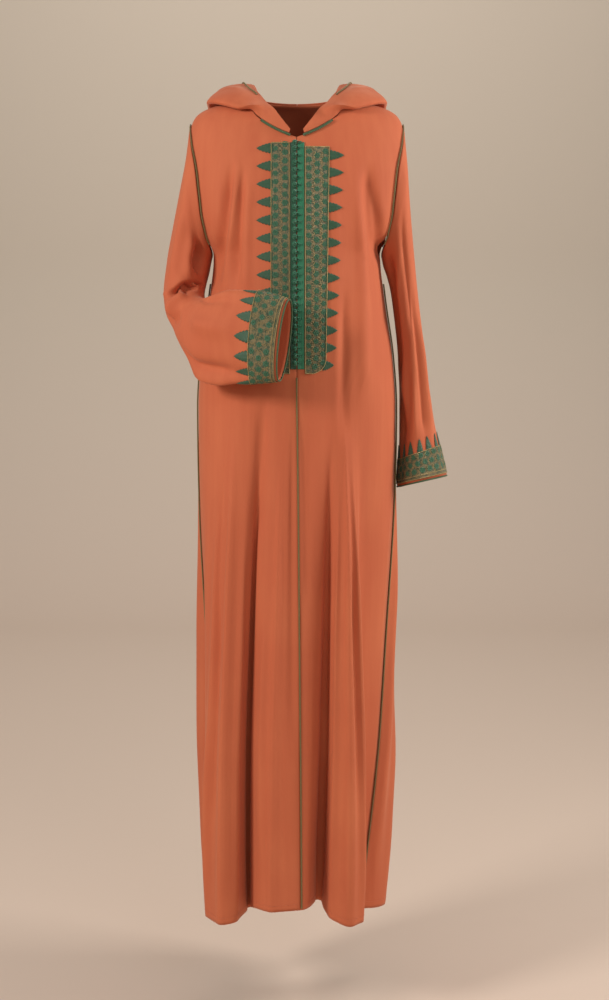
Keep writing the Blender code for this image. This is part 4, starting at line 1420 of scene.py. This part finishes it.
def motif_places(plan, columns, shift):
    """Places across and heights, in staggered columns; shift moves them half a step for the scrolls."""
    found = []
    edge = plan["valley"][0] - plan["inner"]
    for column in range(columns):
        across = plan["inner"] + edge * (column + 0.5 + (0.5 if shift else 0)) / columns
        stagger = FLOWER_PITCH / 2 * (column % 2)
        height = plan["top"] - 8.5 - stagger
        while height > PLASTRON_BOTTOM + 6:
            width = float(plastron_width(plan, np.array([height]))[0][0])
            reach = plan["inner"] + (across - plan["inner"]) * (width - plan["inner"]) / edge
            if reach < width - 3.5:
                found.append((reach * plan["side"], height))
            height -= FLOWER_PITCH
    return np.array(found)


def on_chest(name, plan, motif, finish, columns, shift, size, spread, seed):
    places = motif_places(plan, columns, shift)
    x, height = places.T
    level = level_of(height)
    share = share_at(x, level)
    normals = outward(skin, share, level, 0.001, 0.002)
    at = skin(share, level) + normals * (LAID_GAP + EMBROIDERY - 0.05)
    spins = [dice.uniform(-0.3, 0.3) + (math.pi / 2 if shift else 0) for _ in at]
    turns = standing_turns(normals, [(0, 0, 1)] * len(at), spins)
    return repeated(name, motif, finish, at, turns, size, spread, seed)


def chest_piping(name, plan):
    """A gold cord round the ground: down the opening's side, along the foot and up beside the leaves."""
    heights = np.linspace(PLASTRON_BOTTOM + 0.8, plan["top"] - 0.8, 150)
    edge = plastron_width(plan, heights)[0] - 0.8
    inner = np.full_like(heights, plan["inner"] + 0.8)
    across = np.linspace(plan["inner"] + 0.8, edge[0], 12)
    over = np.linspace(edge[-1], plan["inner"] + 0.8, 12)
    x = np.concatenate([inner[::-1], across, edge, over]) * plan["side"]
    height = np.concatenate([heights[::-1], np.full(12, heights[0]), heights, np.full(12, heights[-1])])
    path = on_front(x, height, LAID_GAP + EMBROIDERY + GOLD_RADIUS * 0.7)
    return tube_piece(name, [path], GOLD_RADIUS, GOLD_THREAD, 2.0, sides=7)


chest_trims = {"right": [leaves_right], "left": [leaves_left]}
for hand, columns, seed in (("right", 2, 3), ("left", 3, 5)):
    plan = PLASTRON[hand]
    chest_trims[hand] += [
        on_chest(f"chest_flowers_{hand}", plan, flower, FLOWER_SILK, columns, False, 1.0, 0.1, seed),
        on_chest(f"chest_scrolls_{hand}", plan, scroll, GOLD_THREAD, columns, True, 0.9, 0.12, seed + 1),
        chest_piping(f"chest_piping_{hand}", plan),
    ]

# %% [markdown]
# ## Embroidered cuffs
# The same work goes round each cuff: a band of filling stitch with flowers and scrolls, a gold cord a little
# inside the edge, and a ring of satin leaves that point up the sleeve.

# %% Cuffs
CUFF_LEAVES, CUFF_BAND, CUFF_LEAF, CUFF_GIRTH, CUFF_MOTIFS = 14, 50.0, 24.0, 312.0, 20


def cuff_grid(name, turns, insets, lift):
    end = sleeves[name]["stops"][-1]
    turn, inset = np.meshgrid(turns, insets)
    grid = on_sleeve(name, turn.ravel(), end - inset.ravel(), lift).reshape(*turn.shape, 3)
    return grid, np.stack([turn * CUFF_GIRTH, inset], -1)


def facing_out(name, grid, flat):
    """Columns in the order that makes the faces point out of a sleeve."""
    return (grid[:, ::-1], flat[:, ::-1]) if sleeves[name]["side"] > 0 else (grid, flat)


def make_cuff(hand):
    """The band, its leaves, its flowers and scrolls, and the gold cords beside them."""
    name = f"sleeve_{hand}"
    end, side = sleeves[name]["stops"][-1], sleeves[name]["side"]
    turns_round, down = np.arange(112) / 112, np.linspace(3, CUFF_BAND, 20)
    grid, flat = facing_out(name, *cuff_grid(name, turns_round, down, LAID_GAP))
    band = cloth_piece(f"cuff_ground_{hand}", grid, flat, GROUND, EMBROIDERY, closed=True, inwards=False)
    grids, flats = [], []
    for k in range(CUFF_LEAVES):
        out, across, lift = leaf_patch(CUFF_LEAF + 2, CUFF_GIRTH / CUFF_LEAVES * 0.38, 0.9, 11)
        turn = (k + 0.5) / CUFF_LEAVES + across / CUFF_GIRTH * side
        along = end - CUFF_BAND + 2 - out
        patch = on_sleeve(name, turn.ravel(), along.ravel(), (LAID_GAP + lift + 0.4).ravel())
        grids.append(patch.reshape(*turn.shape, 3)[:, ::-1])
        flats.append(np.stack([out, across], -1)[:, ::-1])
    leaves = add_piece(f"cuff_leaves_{hand}", merged_mesh(f"cuff_leaves_{hand}", grids, flats), LEAF_SILK)
    wall = leaves.modifiers.new("wall", "SOLIDIFY")
    wall.thickness = 0.4 * MM
    wall.offset = -1
    trims = [leaves]
    for motif, finish, shift, size in ((flower, FLOWER_SILK, 0.0, 1.0), (scroll, GOLD_THREAD, 0.5, 0.9)):
        turn, inset = [], []
        for row in range(3):
            stagger = 0.5 * (row % 2) + shift
            turn += [(k + stagger) / CUFF_MOTIFS for k in range(CUFF_MOTIFS)]
            inset += [17.5 + 13.0 * row] * CUFF_MOTIFS
        turn, along = np.array(turn), end - np.array(inset)
        low, high = (on_sleeve(name, turn, along, lift) for lift in (0.0, 1.0))
        at = mixed(low, high, LAID_GAP + EMBROIDERY - 0.05)
        up = on_sleeve(name, turn, along - 2, 0.0) - low
        spins = [dice.uniform(-0.3, 0.3) + (math.pi / 2 if shift else 0) for _ in turn]
        label = "scrolls" if shift else "flowers"
        turns = standing_turns(high - low, up, spins)
        trims.append(repeated(f"cuff_{label}_{hand}", motif, finish, at, turns, size, 0.1, 11))
    loops = []
    for inset in (4.0, 9.5, CUFF_BAND - 0.6):
        turn = np.arange(90) / 90
        lift = LAID_GAP + EMBROIDERY + GOLD_RADIUS * 0.7
        loops.append(on_sleeve(name, turn, np.full(90, end - inset), lift))
    trims.append(tube_piece(f"cuff_gold_{hand}", loops, GOLD_RADIUS, GOLD_THREAD, 2.5, closed=True, sides=7))
    return band, trims


cuff_left, cuff_trims_left = make_cuff("left")
cuff_right, cuff_trims_right = make_cuff("right")

# %% [markdown]
# ## Opening: braids, knotted buttons and loops
# A flat braid lies on each edge of the opening; the one on the button side is drawn darker, as painted shade
# under the knots. Thirty-one round silk knots stand on it, each a ball knotted from thin cord, and a small
# cord loop from the other braid goes round each one.
# The knot is modelled as a ball whose surface swells where cord crosses cord. One knot and one loop are made
# and repeated down the opening.

# %% Braids
BRAID, BUTTONS, BUTTON_RADIUS, BUTTON_X = 1.1, 31, 3.4, -3.0
BUTTON_TOP, BUTTON_BOTTOM, BRAIDS_TOP, BRAIDS_BOTTOM = -79.0, -448.0, -75.0, -458.0
# The button side's braid is the emerald braid drawn darker: painted shade where the knots shade it.
SHADED_BRAID_SILK = thread_finish("emerald flat braid, painted shade under the buttons", "#0B2E1C", "#1E5A3C", 0.4, 1.1, 45, 0.2, 0.6)


def make_braid(name, low_x, high_x, material):
    """A flat braid with a plaited face: three strands that swell in turn."""
    heights, x = np.linspace(BRAIDS_BOTTOM, BRAIDS_TOP, 260), np.linspace(low_x, high_x, 15)
    across, height = np.meshgrid(x, heights)
    middle, half = (low_x + high_x) / 2, (high_x - low_x) / 2
    aside = np.abs(across - middle)
    plait = 0.22 * np.sin(2 * np.pi * (height + aside * 1.2) / 3.4) * (1 - (aside / half) ** 4)
    lift = (LAID_GAP + plait + 0.2 * (1 - (aside / half) ** 2)).ravel()
    grid = on_front(across.ravel(), height.ravel(), lift).reshape(*across.shape, 3)
    return cloth_piece(name, grid, np.stack([aside, height], -1), material, BRAID, inwards=False)


# The braid under the buttons takes the darker finish, which is painted shade from the knots.
braid_right = make_braid("braid_right", -10.4, -0.6, SHADED_BRAID_SILK)
braid_left = make_braid("braid_left", 1.4, 12.8, BRAID_SILK)


# %% Buttons and loops
def knot_mesh():
    """A ball of knotted cord, its strands crossing on two slants."""
    turn, rise = np.meshgrid(np.linspace(0, math.tau, 41), np.linspace(-np.pi / 2, np.pi / 2, 21))
    strands = np.abs(np.sin(3 * turn + 2.6 * rise)) + np.abs(np.sin(3 * turn - 2.6 * rise))
    reach = BUTTON_RADIUS * (0.86 + 0.10 * strands * np.cos(rise) ** 0.5)
    ball = np.stack([reach * np.cos(rise) * np.cos(turn), reach * np.cos(rise) * np.sin(turn)], -1)
    grid = np.concatenate([ball, (reach * np.sin(rise) * 0.9)[..., None]], -1)
    return merged_mesh("knot", [grid], [np.stack([turn * BUTTON_RADIUS, rise * BUTTON_RADIUS], -1)])


def loop_path():
    """From the left braid out, round the knot and back."""
    bend = np.linspace(-0.72 * np.pi, 0.72 * np.pi, 18)
    x, y = -4.1 * np.cos(bend), 3.9 * np.sin(bend)
    tail = np.array([[11.5, -0.9], [7.0, -1.0]])
    line = np.concatenate([tail, np.stack([x, y], -1), tail[::-1] * np.array([1, -1])])
    return np.concatenate([line, np.full((len(line), 1), 0.75)], 1)


knot = add_piece("knot_motif", knot_mesh(), BUTTON_SILK)
loop = tube_piece("loop_motif", [loop_path()], 0.7, BRAID_SILK, 0.8, sides=6)
button_heights = np.linspace(BUTTON_TOP, BUTTON_BOTTOM, BUTTONS)
button_share = share_at(np.full(BUTTONS, BUTTON_X), level_of(button_heights))
button_normals = outward(skin, button_share, level_of(button_heights), 0.001, 0.002)
button_floor = skin(button_share, level_of(button_heights))
button_turns, loop_turns = (
    standing_turns(button_normals, [(0, 0, 1)] * BUTTONS, [dice.uniform(-spin, spin) for _ in range(BUTTONS)])
    for spin in (0.25, 0.06)
)
button_rise = LAID_GAP + BRAID + 0.3 + BUTTON_RADIUS
buttons = repeated(
    "buttons", knot, BUTTON_SILK, button_floor + button_normals * button_rise, button_turns, 1.0, 0.04, 21
)
loops = repeated(
    "button_loops", loop, BRAID_SILK, button_floor + button_normals * (LAID_GAP + BRAID + 0.4), loop_turns
)

# %% [markdown]
# ## Stitches
# The hem is turned up and topstitched about 12 mm above its edge, and the hood's rim is stitched close to
# its fold. One stitch is a short bar of thread, repeated along the line by the same nodes as the flowers.

# %% Topstitching
STITCH_STEP, STITCH_LENGTH, HEM_TURN = 4.6, 3.0, 12.0
bar = np.array([[0, y * STITCH_LENGTH, 0.12] for y in (-0.5, -0.2, 0.2, 0.5)])
stitch = tube_piece("stitch_motif", [bar], 0.28, SEWING_THREAD, 1.0, sides=5)


def stitched(name, path, normals, seed):
    """Stitches along a path of points about a millimetre apart."""
    run = np.concatenate([[0], np.cumsum(np.linalg.norm(np.diff(path, axis=0), axis=1))])
    stops = np.arange(STITCH_STEP, run[-1] - STITCH_STEP, STITCH_STEP)
    at = np.stack([np.interp(stops, run, path[:, axis]) for axis in range(3)], -1)
    past = np.stack([np.interp(stops + 1, run, path[:, axis]) for axis in range(3)], -1)
    out = np.stack([np.interp(stops, run, normals[:, axis]) for axis in range(3)], -1)
    spins = [dice.uniform(-0.05, 0.05) for _ in stops]
    return repeated(name, stitch, SEWING_THREAD, at, standing_turns(out, past - at, spins), 1.0, 0.08, seed)


hem_share = np.linspace(0.002, 0.998, 1100)
hem_level = level_of(np.full(1100, HEM_HEIGHT + HEM_TURN))
hem_stitches = stitched(
    "hem_stitches", skin(hem_share, hem_level), outward(skin, hem_share, hem_level, 0.001, 0.002), 31
)
rim_bearing = np.linspace(24, 178, 420)
rim_place = np.full(420, 2.93)
rim_path, rim_out = hood_skin(rim_bearing, rim_place), outward(hood_skin, rim_bearing, rim_place, 0.5, 0.02)
rim_stitches = [
    stitched(f"hood_stitches_{hand}", rim_path * mirror, rim_out * mirror, 41)
    for hand, mirror in (("left", np.array([1, 1, 1])), ("right", np.array([-1, 1, 1])))
]
for motif in (flower, scroll, knot, loop, stitch):
    bpy.data.objects.remove(motif)

# %% [markdown]
# ## What each piece stands for
# Every piece rides on the robe's one body and hides the solid it stands for. For the seven panels the area of
# one face of the cloth is printed: what is left of each once the armhole, the neck and the slope of the side
# are cut away.


def belongs(piece, slot_name, *nodes):
    """The piece rides on the robe and stands for these nodes, which are hidden; slot_name is not used."""
    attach(piece, "root")
    if nodes:
        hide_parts(*nodes)


for hand, cuff, cuff_trims, ground in (
    ("left", cuff_left, cuff_trims_left, ground_left),
    ("right", cuff_right, cuff_trims_right, ground_right),
):
    belongs(cuff, "embroidery", f"cuff_embroidery_{hand}")
    belongs(ground, "embroidery", f"plastron_{hand}")
    for piece in cuff_trims + chest_trims[hand]:
        belongs(piece, "embroidery")
    belongs(cords[f"cuff_cord_{hand}"], "braid", f"cuff_cord_{hand}")
    belongs(cords[f"neck_cord_{hand}"], "braid", f"neck_cord_{hand}")
    for kind in ("side_seam", "armhole", "hood"):
        belongs(cords[f"{kind}_cord_{hand}"], "cord", f"{kind}_cord_{hand}")
belongs(cords["front_seam_cord"], "cord", "front_seam_cord")
belongs(braid_right, "braid", "placket_braid_right")
belongs(braid_left, "braid", "placket_braid_left")
belongs(buttons, "braid", *[f"button_{number:02d}" for number in range(1, BUTTONS + 1)])
belongs(loops, "braid")
for piece in (hem_stitches, *rim_stitches):
    belongs(piece, "crepe")
for piece, node in (
    (front_left, "front_left"),
    (front_right, "front_right"),
    (back, "back"),
    (sleeve_left, "sleeve_left"),
    (sleeve_right, "sleeve_right"),
    (hood_left, "hood_left"),
    (hood_right, "hood_right"),
):
    belongs(piece, "crepe", node)


def sheet_area(piece):
    """The area of one face of a cloth in square metres, before its wall is added."""
    return sum(face.area for face in piece.data.polygons)


for piece in (front_left, front_right, back, sleeve_left, sleeve_right, hood_left, hood_right):
    print(piece.name, "area", round(sheet_area(piece), 4))
